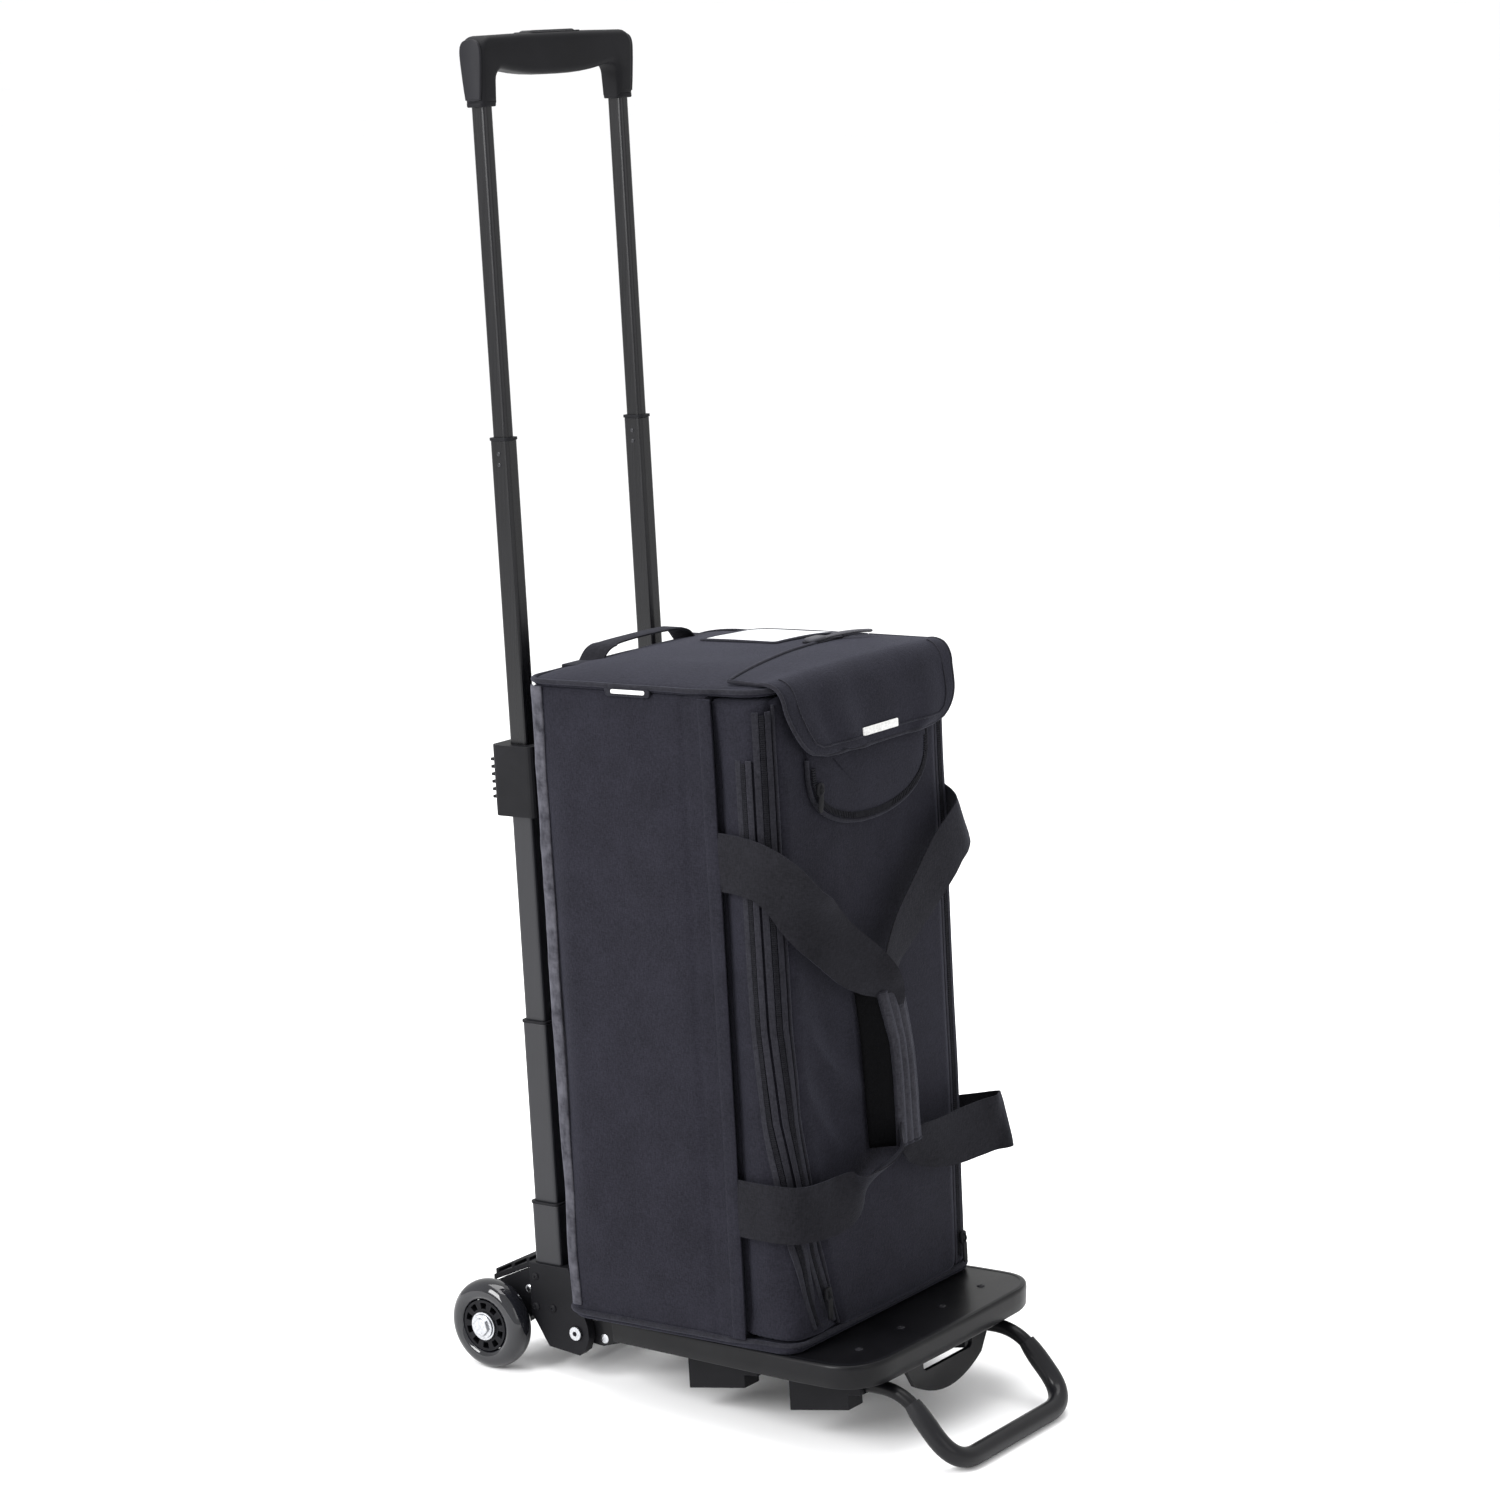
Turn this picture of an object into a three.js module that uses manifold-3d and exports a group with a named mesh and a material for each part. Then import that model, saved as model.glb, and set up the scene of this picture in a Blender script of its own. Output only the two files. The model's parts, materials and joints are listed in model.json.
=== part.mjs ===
// Folding luggage trolley carrying an upright soft equipment bag.
// Units are millimetres, +Z is up, +X is the right side, -Y is the front (the bag's zipped face).
// The origin is on the floor, under the middle of the bounding box.
//
// Everything is drawn in the cart frame: origin on the wheel axle, Z along the handle tubes and
// Y backwards. The cart group then leans back by LEAN and lifts the axle to the wheel radius.

import * as THREE from 'three';
import { mergeVertices } from 'three/addons/utils/BufferGeometryUtils.js';
import Module from 'manifold-3d';

const wasm = await Module();
wasm.setup();

// ---------- driving dimensions ----------
const GAP = 0.3; // clearance between touching pieces
const LEAN = THREE.MathUtils.degToRad(3.84); // the handle's backward lean at rest
const WHEEL_R = 34.2;
const FRONT_REACH = 407.5; // from the axle forward to the front of the foot
const CENTRE_Y = (FRONT_REACH - WHEEL_R) / 2; // puts the bounding box centre on the origin

// telescopic handle: stage 1 is the thin top one, stage 5 stands in the base
const TUBE_X = 78.8;
const TUBE_Y = -46.8;
const TUBE_WALL = 1.2;
const TUBE_STEP = 3; // each stage is this much wider than the one inside it
const TUBE_CORNER = 3;
const STAGE_1_SIZE = { x: 10, y: 13.5 };
const STAGE_TOPS = [930, 669.5, 444, 236, 96.5];
const STAGE_BOTTOMS = [634.5, 409, 201, 61.5, 12];
const RING_HEIGHT = 2;
const RING_LIP = 0.8;
const PLUG_HEIGHT = 9;

const GRIP_HALF = 88;
const GRIP_BOTTOM = 907.6;
const GRIP_SPLIT = 944;
const GRIP_TOP = 956;
const GRIP_DEPTH = 22;
const GRIP_CORNER = 10;
const LEG_HALF = 9;
const LEG_TAPER = 0.8; // depth of the leg's foot over the depth of the bar
const BELLY_BOTTOM = 926.5;
const CHANNEL_FLOOR = 933;
const BUTTON_HALF = 29;
const BUTTON_TOP = 960.3;

const BRIDGE = { half: 92, back: -26, front: -64, bottom: 391, top: 444 };
const TEETH = 6;
const TOOTH_PITCH = 5.6;
const TOOTH_REACH = 4.6;

// The folded deck's rear edge passes 0.9 mm over the top of the base.
const BASE = { half: 92.2, inner: 64, back: -30, front: -66, bottom: 6, top: 48.5 };
const CHEEK_INNER = 84.3;
const PIVOT = { y: -72.5, z: -1, r: 3 };

const WHEEL_X = 104;
const WHEEL_WIDTH = 22;
const TYRE_INNER = 20;
const BEARING_R = 11;
const AXLE_R = 4;
const SPOKES = 10;

const DECK = { top: 22, under: 18, rim: 5, rimWall: 3, back: -120, front: -352 };
const LIP = { half: 58, tip: -27, back: -340.5, front: -344 };
const ARM_INNER = 70;

const FOOT_X = 76;
const FOOT_R = 5.25;
const SLEEVE_R = 7.5;
const FOOT_Z = -5;
const FOOT_REAR = -150;

const BAG = { half: 119, back: -83.5, front: -292, bottom: 22.4, top: 502, wall: 8 };
const BAG_STEP = { y: -248, half: 115 };
const PANEL = { half: 112, front: -299, bottom: 34, top: 490, corner: 22 };
const FLAP = { half: 95, back: -242, drop: 446, thick: 2.2 };
const STRAP = { width: 42, thick: 2, upper: 378, lower: 129, side: 252 };
const WRAP = { half: 24, bottom: 152, top: 268, front: -321, back: -309.5 };

// ---------- materials ----------
const material = (color, roughness, metalness) =>
  new THREE.MeshStandardMaterial({ color, roughness, metalness });
const satinPlastic = material(0x17171b, 0.42, 0);
const glossPlastic = material(0x101014, 0.2, 0);
const paintedTube = material(0x1c1c21, 0.36, 0.3);
const bareSteel = material(0xb9bbc0, 0.25, 1);
const clearTyre = material(0x3a3c42, 0.15, 0);
const softRubber = material(0x1a1b1d, 0.7, 0);
const bagCloth = material(0x24242b, 0.9, 0);
const trimCloth = material(0x1b1b20, 0.75, 0);
const clearWindow = material(0xc9ccd2, 0.15, 0);

// ---------- shape helpers ----------
const CORNER_SEGMENTS = 2;

function roundedRect(width, height, radius, cx = 0, cy = 0) {
  const shape = new THREE.Shape();
  const x = width / 2 - radius;
  const y = height / 2 - radius;
  shape.absarc(cx + x, cy + y, radius, 0, Math.PI / 2, false);
  shape.absarc(cx - x, cy + y, radius, Math.PI / 2, Math.PI, false);
  shape.absarc(cx - x, cy - y, radius, Math.PI, 1.5 * Math.PI, false);
  shape.absarc(cx + x, cy - y, radius, 1.5 * Math.PI, 2 * Math.PI, false);
  return shape;
}

function polygon(points) {
  return new THREE.Shape(points.map(([a, b]) => new THREE.Vector2(a, b)));
}

function arcPoints(radius, from, to, steps, cx = 0, cy = 0) {
  const points = [];
  for (let i = 0; i <= steps; i += 1) {
    const angle = from + ((to - from) * i) / steps;
    points.push([cx + radius * Math.cos(angle), cy + radius * Math.sin(angle)]);
  }
  return points;
}

function disc(radius, cx = 0, cy = 0, sides = 16) {
  return polygon(arcPoints(radius, 0, 2 * Math.PI, sides, cx, cy).slice(0, -1));
}

function withHoles(shape, holes) {
  shape.holes.push(...holes);
  return shape;
}

const plain = (depth, curveSegments) => ({ depth, curveSegments, bevelEnabled: false });

// A shape drawn in X,Y and extruded from low to high along Z.
function prismZ(shape, low, high, segments = CORNER_SEGMENTS) {
  const geometry = new THREE.ExtrudeGeometry(shape, plain(high - low, segments));
  return geometry.translate(0, 0, low);
}

// A shape drawn in Y,Z and extruded along X.
function prismX(shape, low, high, segments = CORNER_SEGMENTS) {
  const turn = new THREE.Matrix4().makeBasis(
    new THREE.Vector3(0, 1, 0),
    new THREE.Vector3(0, 0, 1),
    new THREE.Vector3(1, 0, 0),
  );
  return prismZ(shape, low, high, segments).applyMatrix4(turn);
}

// A shape drawn in X,Z and extruded along Y.
function prismY(shape, low, high, segments = CORNER_SEGMENTS) {
  const turn = new THREE.Matrix4().makeBasis(
    new THREE.Vector3(1, 0, 0),
    new THREE.Vector3(0, 0, 1),
    new THREE.Vector3(0, -1, 0),
  );
  return prismZ(shape, -high, -low, segments).applyMatrix4(turn);
}

function box(x0, x1, y0, y1, z0, z1) {
  const geometry = new THREE.BoxGeometry(x1 - x0, y1 - y0, z1 - z0);
  return geometry.translate((x0 + x1) / 2, (y0 + y1) / 2, (z0 + z1) / 2);
}

function cylinderX(radius, x0, x1, y, z, sides = 16) {
  const geometry = new THREE.CylinderGeometry(radius, radius, x1 - x0, sides);
  return geometry.rotateZ(-Math.PI / 2).translate((x0 + x1) / 2, y, z);
}

// ---------- booleans ----------
function toSolid(geometry) {
  const bare = geometry.clone();
  bare.deleteAttribute('normal');
  bare.deleteAttribute('uv');
  const merged = mergeVertices(bare);
  const mesh = new wasm.Mesh({
    numProp: 3,
    vertProperties: new Float32Array(merged.attributes.position.array),
    triVerts: new Uint32Array(merged.index.array),
  });
  return new wasm.Manifold(mesh);
}

function toGeometry(solid) {
  const mesh = solid.getMesh();
  const geometry = new THREE.BufferGeometry();
  geometry.setAttribute('position', new THREE.BufferAttribute(mesh.vertProperties, 3));
  geometry.setIndex(new THREE.BufferAttribute(mesh.triVerts, 1));
  geometry.computeVertexNormals();
  return geometry;
}

const join = (...parts) => toGeometry(parts.map(toSolid).reduce((sum, part) => sum.add(part)));
const cut = (body, ...tools) =>
  toGeometry(tools.map(toSolid).reduce((rest, tool) => rest.subtract(tool), toSolid(body)));
const common = (body, tool) => toGeometry(toSolid(body).intersect(toSolid(tool)));

// ---------- paths ----------
// A polyline whose corners are rounded: each radius is the length taken off both sides.
function roundedPath(points, radii) {
  const path = new THREE.CurvePath();
  const corners = points.map((p) => new THREE.Vector3(...p));
  let from = corners[0];
  for (let i = 1; i < corners.length - 1; i += 1) {
    const before = corners[i - 1].clone().sub(corners[i]).setLength(radii[i - 1]).add(corners[i]);
    const after = corners[i + 1].clone().sub(corners[i]).setLength(radii[i - 1]).add(corners[i]);
    path.add(new THREE.LineCurve3(from, before));
    path.add(new THREE.QuadraticBezierCurve3(before, corners[i], after));
    from = after;
  }
  path.add(new THREE.LineCurve3(from, corners.at(-1)));
  return path;
}

function sweep(radius, path, steps, sides) {
  const options = { steps, bevelEnabled: false, extrudePath: path };
  return new THREE.ExtrudeGeometry(disc(radius, 0, 0, sides), options);
}

// ---------- assembly ----------
const cart = new THREE.Group();
cart.rotation.x = -LEAN;
cart.position.set(0, CENTRE_Y, WHEEL_R);

function add(name, geometry, surface) {
  const mesh = new THREE.Mesh(geometry, surface);
  mesh.name = name;
  cart.add(mesh);
}

const SIDES = [
  { name: 'left', sign: -1 },
  { name: 'right', sign: 1 },
];

// Orders a pair of signed X values from low to high.
const span = (sign, a, b) => (sign > 0 ? [a, b] : [-b, -a]);

// ---------- telescopic tubes ----------
function stageSize(stage, grow = 0) {
  const wider = (stage - 1) * TUBE_STEP;
  return { x: STAGE_1_SIZE.x + wider + grow, y: STAGE_1_SIZE.y + wider + grow };
}

function stageOutline(stage, sign, grow = 0) {
  const size = stageSize(stage, grow);
  return roundedRect(size.x, size.y, TUBE_CORNER + grow / 2, sign * TUBE_X, TUBE_Y);
}

const BORE_CORNER = TUBE_CORNER - TUBE_WALL;
function stageBore(stage, sign, shrink = 0) {
  const size = stageSize(stage, -2 * TUBE_WALL - shrink);
  return roundedRect(size.x, size.y, BORE_CORNER, sign * TUBE_X, TUBE_Y);
}

const hasRing = (stage) => [2, 4, 5].includes(stage);

function addTube(stage, side) {
  const { name, sign } = side;
  const bottom = STAGE_BOTTOMS[stage - 1];
  let top = STAGE_TOPS[stage - 1];
  if (hasRing(stage)) top -= RING_HEIGHT + GAP;
  if (stage === 3) top -= RING_HEIGHT + GAP; // the bridge closes over this mouth
  const tube = withHoles(stageOutline(stage, sign), [stageBore(stage, sign)]);
  add(`handle_tube_${stage}_${name}`, prismZ(tube, bottom, top), paintedTube);
}

// A ring at the mouth of an outer tube, a little proud of it, that the inner tube slides through.
function addRing(stage, side) {
  const outline = stageOutline(stage, side.sign, 2 * RING_LIP);
  const hole = stageOutline(stage - 1, side.sign, 2 * GAP);
  const top = STAGE_TOPS[stage - 1];
  const ring = prismZ(withHoles(outline, [hole]), top - RING_HEIGHT, top);
  add(`mouth_ring_${stage}_${side.name}`, ring, satinPlastic);
}

// The guide plug under each sliding tube: a foot that fills the next tube's bore, and a spigot
// that goes up into its own tube.
function addPlug(stage, side) {
  const { name, sign } = side;
  const top = STAGE_BOTTOMS[stage - 1] - GAP;
  const foot = prismZ(stageBore(stage + 1, sign, 2 * GAP), top - PLUG_HEIGHT, top);
  const spigot = prismZ(stageBore(stage, sign, 2 * GAP), top - PLUG_HEIGHT / 2, top + PLUG_HEIGHT);
  add(`guide_plug_${stage}_${name}`, join(foot, spigot), satinPlastic);
}

for (const side of SIDES) {
  for (let stage = 1; stage <= 5; stage += 1) {
    addTube(stage, side);
    if (hasRing(stage)) addRing(stage, side);
    if (stage < 5) addPlug(stage, side);
  }
}

// ---------- grip with its release button ----------
function gripProfile() {
  const inner = GRIP_HALF - 2 * LEG_HALF;
  const shape = new THREE.Shape();
  shape.moveTo(GRIP_HALF, GRIP_BOTTOM);
  shape.lineTo(GRIP_HALF, GRIP_TOP - GRIP_CORNER);
  shape.quadraticCurveTo(GRIP_HALF, GRIP_TOP, GRIP_HALF - GRIP_CORNER, GRIP_TOP);
  shape.lineTo(GRIP_CORNER - GRIP_HALF, GRIP_TOP);
  shape.quadraticCurveTo(-GRIP_HALF, GRIP_TOP, -GRIP_HALF, GRIP_TOP - GRIP_CORNER);
  shape.lineTo(-GRIP_HALF, GRIP_BOTTOM);
  shape.lineTo(-inner, GRIP_BOTTOM);
  shape.lineTo(-inner, BELLY_BOTTOM + 3);
  shape.quadraticCurveTo(-inner + 2, BELLY_BOTTOM + 6, -inner + 8, BELLY_BOTTOM + 5);
  shape.quadraticCurveTo(0, BELLY_BOTTOM - 5, inner - 8, BELLY_BOTTOM + 5);
  shape.quadraticCurveTo(inner - 2, BELLY_BOTTOM + 6, inner, BELLY_BOTTOM + 3);
  shape.lineTo(inner, GRIP_BOTTOM);
  return shape;
}

// Narrows the legs in depth towards their lower ends.
function taperLegs(geometry) {
  const position = geometry.attributes.position;
  for (let i = 0; i < position.count; i += 1) {
    const rise = (position.getZ(i) - GRIP_BOTTOM) / (GRIP_TOP - GRIP_BOTTOM);
    const scale = LEG_TAPER + (1 - LEG_TAPER) * Math.min(1, rise * 2);
    position.setY(i, TUBE_Y + (position.getY(i) - TUBE_Y) * scale);
  }
  return geometry;
}

const GRIP_BACK = TUBE_Y + GRIP_DEPTH / 2;
const GRIP_FRONT = TUBE_Y - GRIP_DEPTH / 2;
const gripBlock = taperLegs(prismY(gripProfile(), GRIP_FRONT, GRIP_BACK, 6));
const CHANNEL_HALF = 84;
const CHANNEL_DEPTH = 7;
const channel = box(
  -CHANNEL_HALF, CHANNEL_HALF,
  TUBE_Y - CHANNEL_DEPTH, TUBE_Y + CHANNEL_DEPTH,
  CHANNEL_FLOOR, GRIP_SPLIT + 1,
);
const SPRING_POCKET_R = 5;
const POCKET_FLOOR = 929;
const springPocket = new THREE.CylinderGeometry(SPRING_POCKET_R, SPRING_POCKET_R, 12, 16)
  .rotateX(Math.PI / 2)
  .translate(0, TUBE_Y, POCKET_FLOOR + 6);
const legBores = SIDES.map(({ sign }) =>
  prismZ(stageOutline(1, sign, 2 * GAP), GRIP_BOTTOM - 1, CHANNEL_FLOOR + 1));
// A box round the whole grip between two heights; it splits the grip into body and cover.
const gripSlice = (low, high) =>
  box(-GRIP_HALF - 5, GRIP_HALF + 5, GRIP_FRONT - 5, GRIP_BACK + 5, low, high);
const below = gripSlice(GRIP_BOTTOM - 5, GRIP_SPLIT);
const above = gripSlice(GRIP_SPLIT + GAP, GRIP_TOP + 5);
add('grip_body', cut(common(gripBlock, below), channel, springPocket, ...legBores), satinPlastic);

const COVER_ROOF = GRIP_TOP - 3;
const coverHollow = box(
  -CHANNEL_HALF + 8, CHANNEL_HALF - 8,
  TUBE_Y - CHANNEL_DEPTH, TUBE_Y + CHANNEL_DEPTH,
  GRIP_SPLIT - 1, COVER_ROOF,
);
const BUTTON_WIDTH = 11;
const buttonOutline = (grow) =>
  roundedRect(2 * (BUTTON_HALF + grow), BUTTON_WIDTH + 2 * grow, BUTTON_WIDTH / 2, 0, TUBE_Y);
const buttonSlot = prismZ(buttonOutline(GAP + 0.1), GRIP_SPLIT, GRIP_TOP + 1, 5);
add('grip_cover', cut(common(gripBlock, above), coverHollow, buttonSlot), satinPlastic);

const YOKE = { bottom: 938.8, top: 943 };
const buttonBlock = prismZ(buttonOutline(0), YOKE.top + GAP, BUTTON_TOP, 5);
const DOME_R = 105;
const buttonDome = new THREE.CylinderGeometry(DOME_R, DOME_R, BUTTON_WIDTH + 4, 160)
  .translate(0, TUBE_Y, BUTTON_TOP - DOME_R);
add('release_button', common(buttonBlock, buttonDome), satinPlastic);
add('release_yoke', box(-82, 82, TUBE_Y - 4, TUBE_Y + 4, YOKE.bottom, YOKE.top), satinPlastic);

const ROD_BOTTOM = STAGE_BOTTOMS[0] + 16;
for (const { name, sign } of SIDES) {
  const rod = prismZ(disc(2, sign * TUBE_X, TUBE_Y, 10), ROD_BOTTOM, YOKE.bottom - GAP);
  add(`release_rod_${name}`, rod, bareSteel);
}

class Helix extends THREE.Curve {
  constructor(radius, turns, bottom, top) {
    super();
    Object.assign(this, { radius, turns, bottom, top });
  }

  getPoint(t, target = new THREE.Vector3()) {
    const angle = 2 * Math.PI * this.turns * t;
    const height = this.bottom + (this.top - this.bottom) * t;
    return target.set(
      this.radius * Math.cos(angle),
      TUBE_Y + this.radius * Math.sin(angle),
      height,
    );
  }
}
const SPRING_WIRE = 0.6;
const springPath = new Helix(3.4, 4, POCKET_FLOOR + 1, YOKE.bottom - 1);
add('button_spring', sweep(SPRING_WIRE, springPath, 48, 6), bareSteel);

// ---------- bridge with finger teeth, clamped on the stage 3 tubes ----------
const bridgeBlock = prismZ(
  roundedRect(2 * BRIDGE.half, BRIDGE.back - BRIDGE.front, 5, 0, (BRIDGE.back + BRIDGE.front) / 2),
  BRIDGE.bottom,
  BRIDGE.top,
);
const teeth = [];
for (let i = 0; i < TEETH; i += 1) {
  const z = BRIDGE.top - 12 - i * TOOTH_PITCH;
  const back = BRIDGE.back + TOOTH_REACH;
  teeth.push(box(-BRIDGE.half + 5, BRIDGE.half - 5, BRIDGE.back - 1, back, z - 1, z + 1));
}
const bridgeBores = SIDES.flatMap(({ sign }) => [
  prismZ(stageOutline(3, sign, 2 * GAP), BRIDGE.bottom - 1, BRIDGE.top - RING_HEIGHT),
  prismZ(stageOutline(2, sign, 2 * GAP), BRIDGE.bottom, BRIDGE.top + 1),
]);
// Two hollows, open below, lighten the bridge on either side of a middle wall.
const bridgeHollows = SIDES.map(({ sign }) => {
  const [low, high] = span(sign, 3, 57);
  return box(low, high, BRIDGE.front + 4, BRIDGE.back - 4, BRIDGE.bottom - 1, BRIDGE.top - 4);
});
const bridge = cut(join(bridgeBlock, ...teeth), ...bridgeBores, ...bridgeHollows);
add('tube_bridge', bridge, satinPlastic);

// ---------- base housing with sockets and cheeks ----------
const housingParts = [];
for (const { sign } of SIDES) {
  const [low, high] = span(sign, BASE.inner, BASE.half);
  housingParts.push(box(low, high, BASE.front, BASE.back, BASE.bottom, BASE.top));
  const cheek = polygon([
    [BASE.back, BASE.top],
    [BASE.front - 2, BASE.top],
    [-72, 36],
    [-83, 6],
    [-84, -4],
    [-80, -14],
    [-74, -18.5],
    [-45, -15.5],
    [BASE.back, 8],
  ]);
  housingParts.push(prismX(cheek, ...span(sign, CHEEK_INNER, BASE.half)));
}
const webPlate = box(-BASE.inner - 1, BASE.inner + 1, -58, -38, 10, 44);
const socketBores = SIDES.map(({ sign }) =>
  prismZ(stageOutline(5, sign, 2 * GAP), STAGE_BOTTOMS[4] - GAP, BASE.top + 5));
const pivotBores = SIDES.map(({ sign }) =>
  cylinderX(PIVOT.r + GAP, ...span(sign, 80, 96), PIVOT.y, PIVOT.z));
add('base_housing', cut(join(...housingParts, webPlate), ...socketBores, ...pivotBores), satinPlastic);

// Deck pivot pins: a shank through the cheek and the deck arm, with a domed head outside.
for (const { name, sign } of SIDES) {
  const shank = cylinderX(PIVOT.r, ...span(sign, 71, 93), PIVOT.y, PIVOT.z);
  const head = cylinderX(5.4, ...span(sign, BASE.half + GAP, BASE.half + 2.6), PIVOT.y, PIVOT.z);
  add(`pivot_pin_${name}`, join(shank, head), bareSteel);
}

// ---------- wheel carrier: ribbed crossbeam, two arms and the axle ----------
const CARRIER_HALF = 86;
const beamPlate = polygon([
  [BASE.back + GAP, 48.5],
  [11, 31],
  [11, 26.5],
  [BASE.back + GAP, 44],
]);
const beamFins = [-24, -9, 7].map((y) => {
  const z = 31 + ((11 - y) / (11 - BASE.back)) * 17.5;
  return box(-CARRIER_HALF, CARRIER_HALF, y - 1.6, y + 1.6, z - 3, z + 3.5);
});
add(
  'axle_crossbeam',
  join(prismX(beamPlate, -CARRIER_HALF, CARRIER_HALF), ...beamFins),
  satinPlastic,
);
for (const { name, sign } of SIDES) {
  const arm = polygon([
    [BASE.back + GAP, 43.4],
    [9, 26.6],
    [11, 0],
    [7, -9],
    [-7, -10],
    [-18, -3],
    [BASE.back + GAP, 9],
  ]);
  arm.holes.push(disc(AXLE_R + GAP, 0, 0, 20));
  add(`wheel_arm_${name}`, prismX(arm, ...span(sign, 72, CARRIER_HALF)), satinPlastic);
}
const AXLE_HALF = WHEEL_X + WHEEL_WIDTH / 2 + 3;
const rod = cylinderX(AXLE_R, -AXLE_HALF + 1, AXLE_HALF - 1, 0, 0, 20);
const axleHeads = SIDES.map(({ sign }) =>
  cylinderX(6.5, ...span(sign, WHEEL_X + WHEEL_WIDTH / 2 + GAP, AXLE_HALF), 0, 0, 12));
add('axle_rod', join(rod, ...axleHeads), bareSteel);

// ---------- wheels ----------
// Profiles are radius and half width; the lathe turns them about Y, then Y becomes X.
function turned(points, segments) {
  const profile = points.map(([r, x]) => new THREE.Vector2(r, x));
  profile.push(profile[0].clone());
  return new THREE.LatheGeometry(profile, segments).rotateZ(-Math.PI / 2);
}

function centred(geometry, sign) {
  return geometry.translate(sign * WHEEL_X, 0, 0);
}

const TYRE_PROFILE = [
  [TYRE_INNER, -9],
  [26, -WHEEL_WIDTH / 2],
  [31, -9.4],
  [33.6, -5],
  [WHEEL_R, 0],
  [33.6, 5],
  [31, 9.4],
  [26, WHEEL_WIDTH / 2],
  [TYRE_INNER, 9],
];
const HUB_OUTER = TYRE_INNER - GAP;
const HUB_RIM = 17.9;
const HUB_BOSS = 13;
const HALF_SPOKE = 0.14; // radians
function hubShape() {
  const shape = disc(HUB_OUTER, 0, 0, 48);
  shape.holes.push(disc(BEARING_R + GAP, 0, 0, 24));
  const pitch = (2 * Math.PI) / SPOKES;
  for (let i = 0; i < SPOKES; i += 1) {
    const from = i * pitch + HALF_SPOKE;
    const to = (i + 1) * pitch - HALF_SPOKE;
    const outer = arcPoints(HUB_RIM, from, to, 3);
    const inner = arcPoints(HUB_BOSS, to, from, 3);
    shape.holes.push(polygon([...outer, ...inner]));
  }
  return shape;
}
for (const { name, sign } of SIDES) {
  add(`tyre_${name}`, centred(turned(TYRE_PROFILE, 48), sign), clearTyre);
  add(`wheel_hub_${name}`, centred(prismX(hubShape(), -9, 9), sign), satinPlastic);
  const bearing = withHoles(disc(BEARING_R, 0, 0, 24), [disc(AXLE_R + GAP, 0, 0, 20)]);
  add(`wheel_bearing_${name}`, centred(prismX(bearing, -11, 11), sign), bareSteel);
}

// ---------- folding deck ----------
function deckOutline(inset = 0) {
  const shape = new THREE.Shape();
  const back = DECK.back - inset;
  const front = DECK.front + inset;
  shape.moveTo(-108 + inset, back);
  shape.lineTo(-118 + inset, -290);
  shape.lineTo(-118 + inset, -318);
  shape.quadraticCurveTo(-118 + inset, front + 5, -86, front + 1);
  shape.quadraticCurveTo(0, front - 2, 86, front + 1);
  shape.quadraticCurveTo(118 - inset, front + 5, 118 - inset, -318);
  shape.lineTo(118 - inset, -290);
  shape.lineTo(108 - inset, back);
  return shape;
}
const deckPlate = prismZ(deckOutline(), DECK.under, DECK.top, 8);
const deckRim = prismZ(withHoles(deckOutline(), [deckOutline(DECK.rimWall)]), DECK.rim, DECK.under + 1, 8);
const RIB_HALF = 62; // the ribs stop short of the foot guides
const deckRibs = [-160, -245, -330].map((y) =>
  box(-RIB_HALF, RIB_HALF, y - 1.5, y + 1.5, 9, DECK.under + 1));
const deckArms = SIDES.map(({ sign }) => {
  const arm = polygon([
    [PIVOT.y + 5, PIVOT.z + 5.5],
    [PIVOT.y, PIVOT.z + 6.8],
    [DECK.back - 2, 14.5],
    [DECK.back - 16, DECK.under + 1],
    [DECK.back - 16, 6],
    [DECK.back + 6, -4],
    [PIVOT.y - 18, -11],
    [PIVOT.y, PIVOT.z - 8.3],
    [PIVOT.y + 6, PIVOT.z - 5.5],
    [PIVOT.y + 8, PIVOT.z],
  ]);
  arm.holes.push(disc(PIVOT.r + GAP, PIVOT.y, PIVOT.z));
  return prismX(arm, ...span(sign, ARM_INNER, CHEEK_INNER - 0.8));
});
function lipShape() {
  const shape = new THREE.Shape();
  shape.moveTo(-LIP.half, DECK.rim + 3);
  shape.lineTo(-LIP.half + 14, -14);
  shape.quadraticCurveTo(0, 2 * LIP.tip + 14, LIP.half - 14, -14);
  shape.lineTo(LIP.half, DECK.rim + 3);
  shape.holes.push(roundedRect(64, 9, 4, 0, -2));
  return shape;
}
const deckLip = prismY(lipShape(), LIP.front, LIP.back, 10);
const lipShelf = box(-LIP.half, LIP.half, DECK.front + 2, LIP.back, DECK.rim, DECK.rim + 3);
add('deck', join(deckPlate, deckRim, ...deckRibs, ...deckArms, deckLip, lipShelf), glossPlastic);

// ---------- foot: bent bar in two guides, with a rubber sleeve ----------
const FOOT_BAR_CENTRE = { y: -397.3, z: -53.4 };
const legPoints = (sign) => [
  [sign * FOOT_X, FOOT_REAR, FOOT_Z],
  [sign * FOOT_X, -356, FOOT_Z],
  [sign * FOOT_X, FOOT_BAR_CENTRE.y, FOOT_BAR_CENTRE.z],
];
const footPoints = [...legPoints(-1), ...legPoints(1).reverse()];
const footPath = roundedPath(footPoints, [20, 27, 27, 20]);
const FOOT_STEPS = 60;
const FOOT_SIDES = 10;
add('foot_bar', sweep(FOOT_R, footPath, FOOT_STEPS, FOOT_SIDES), paintedTube);

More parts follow.
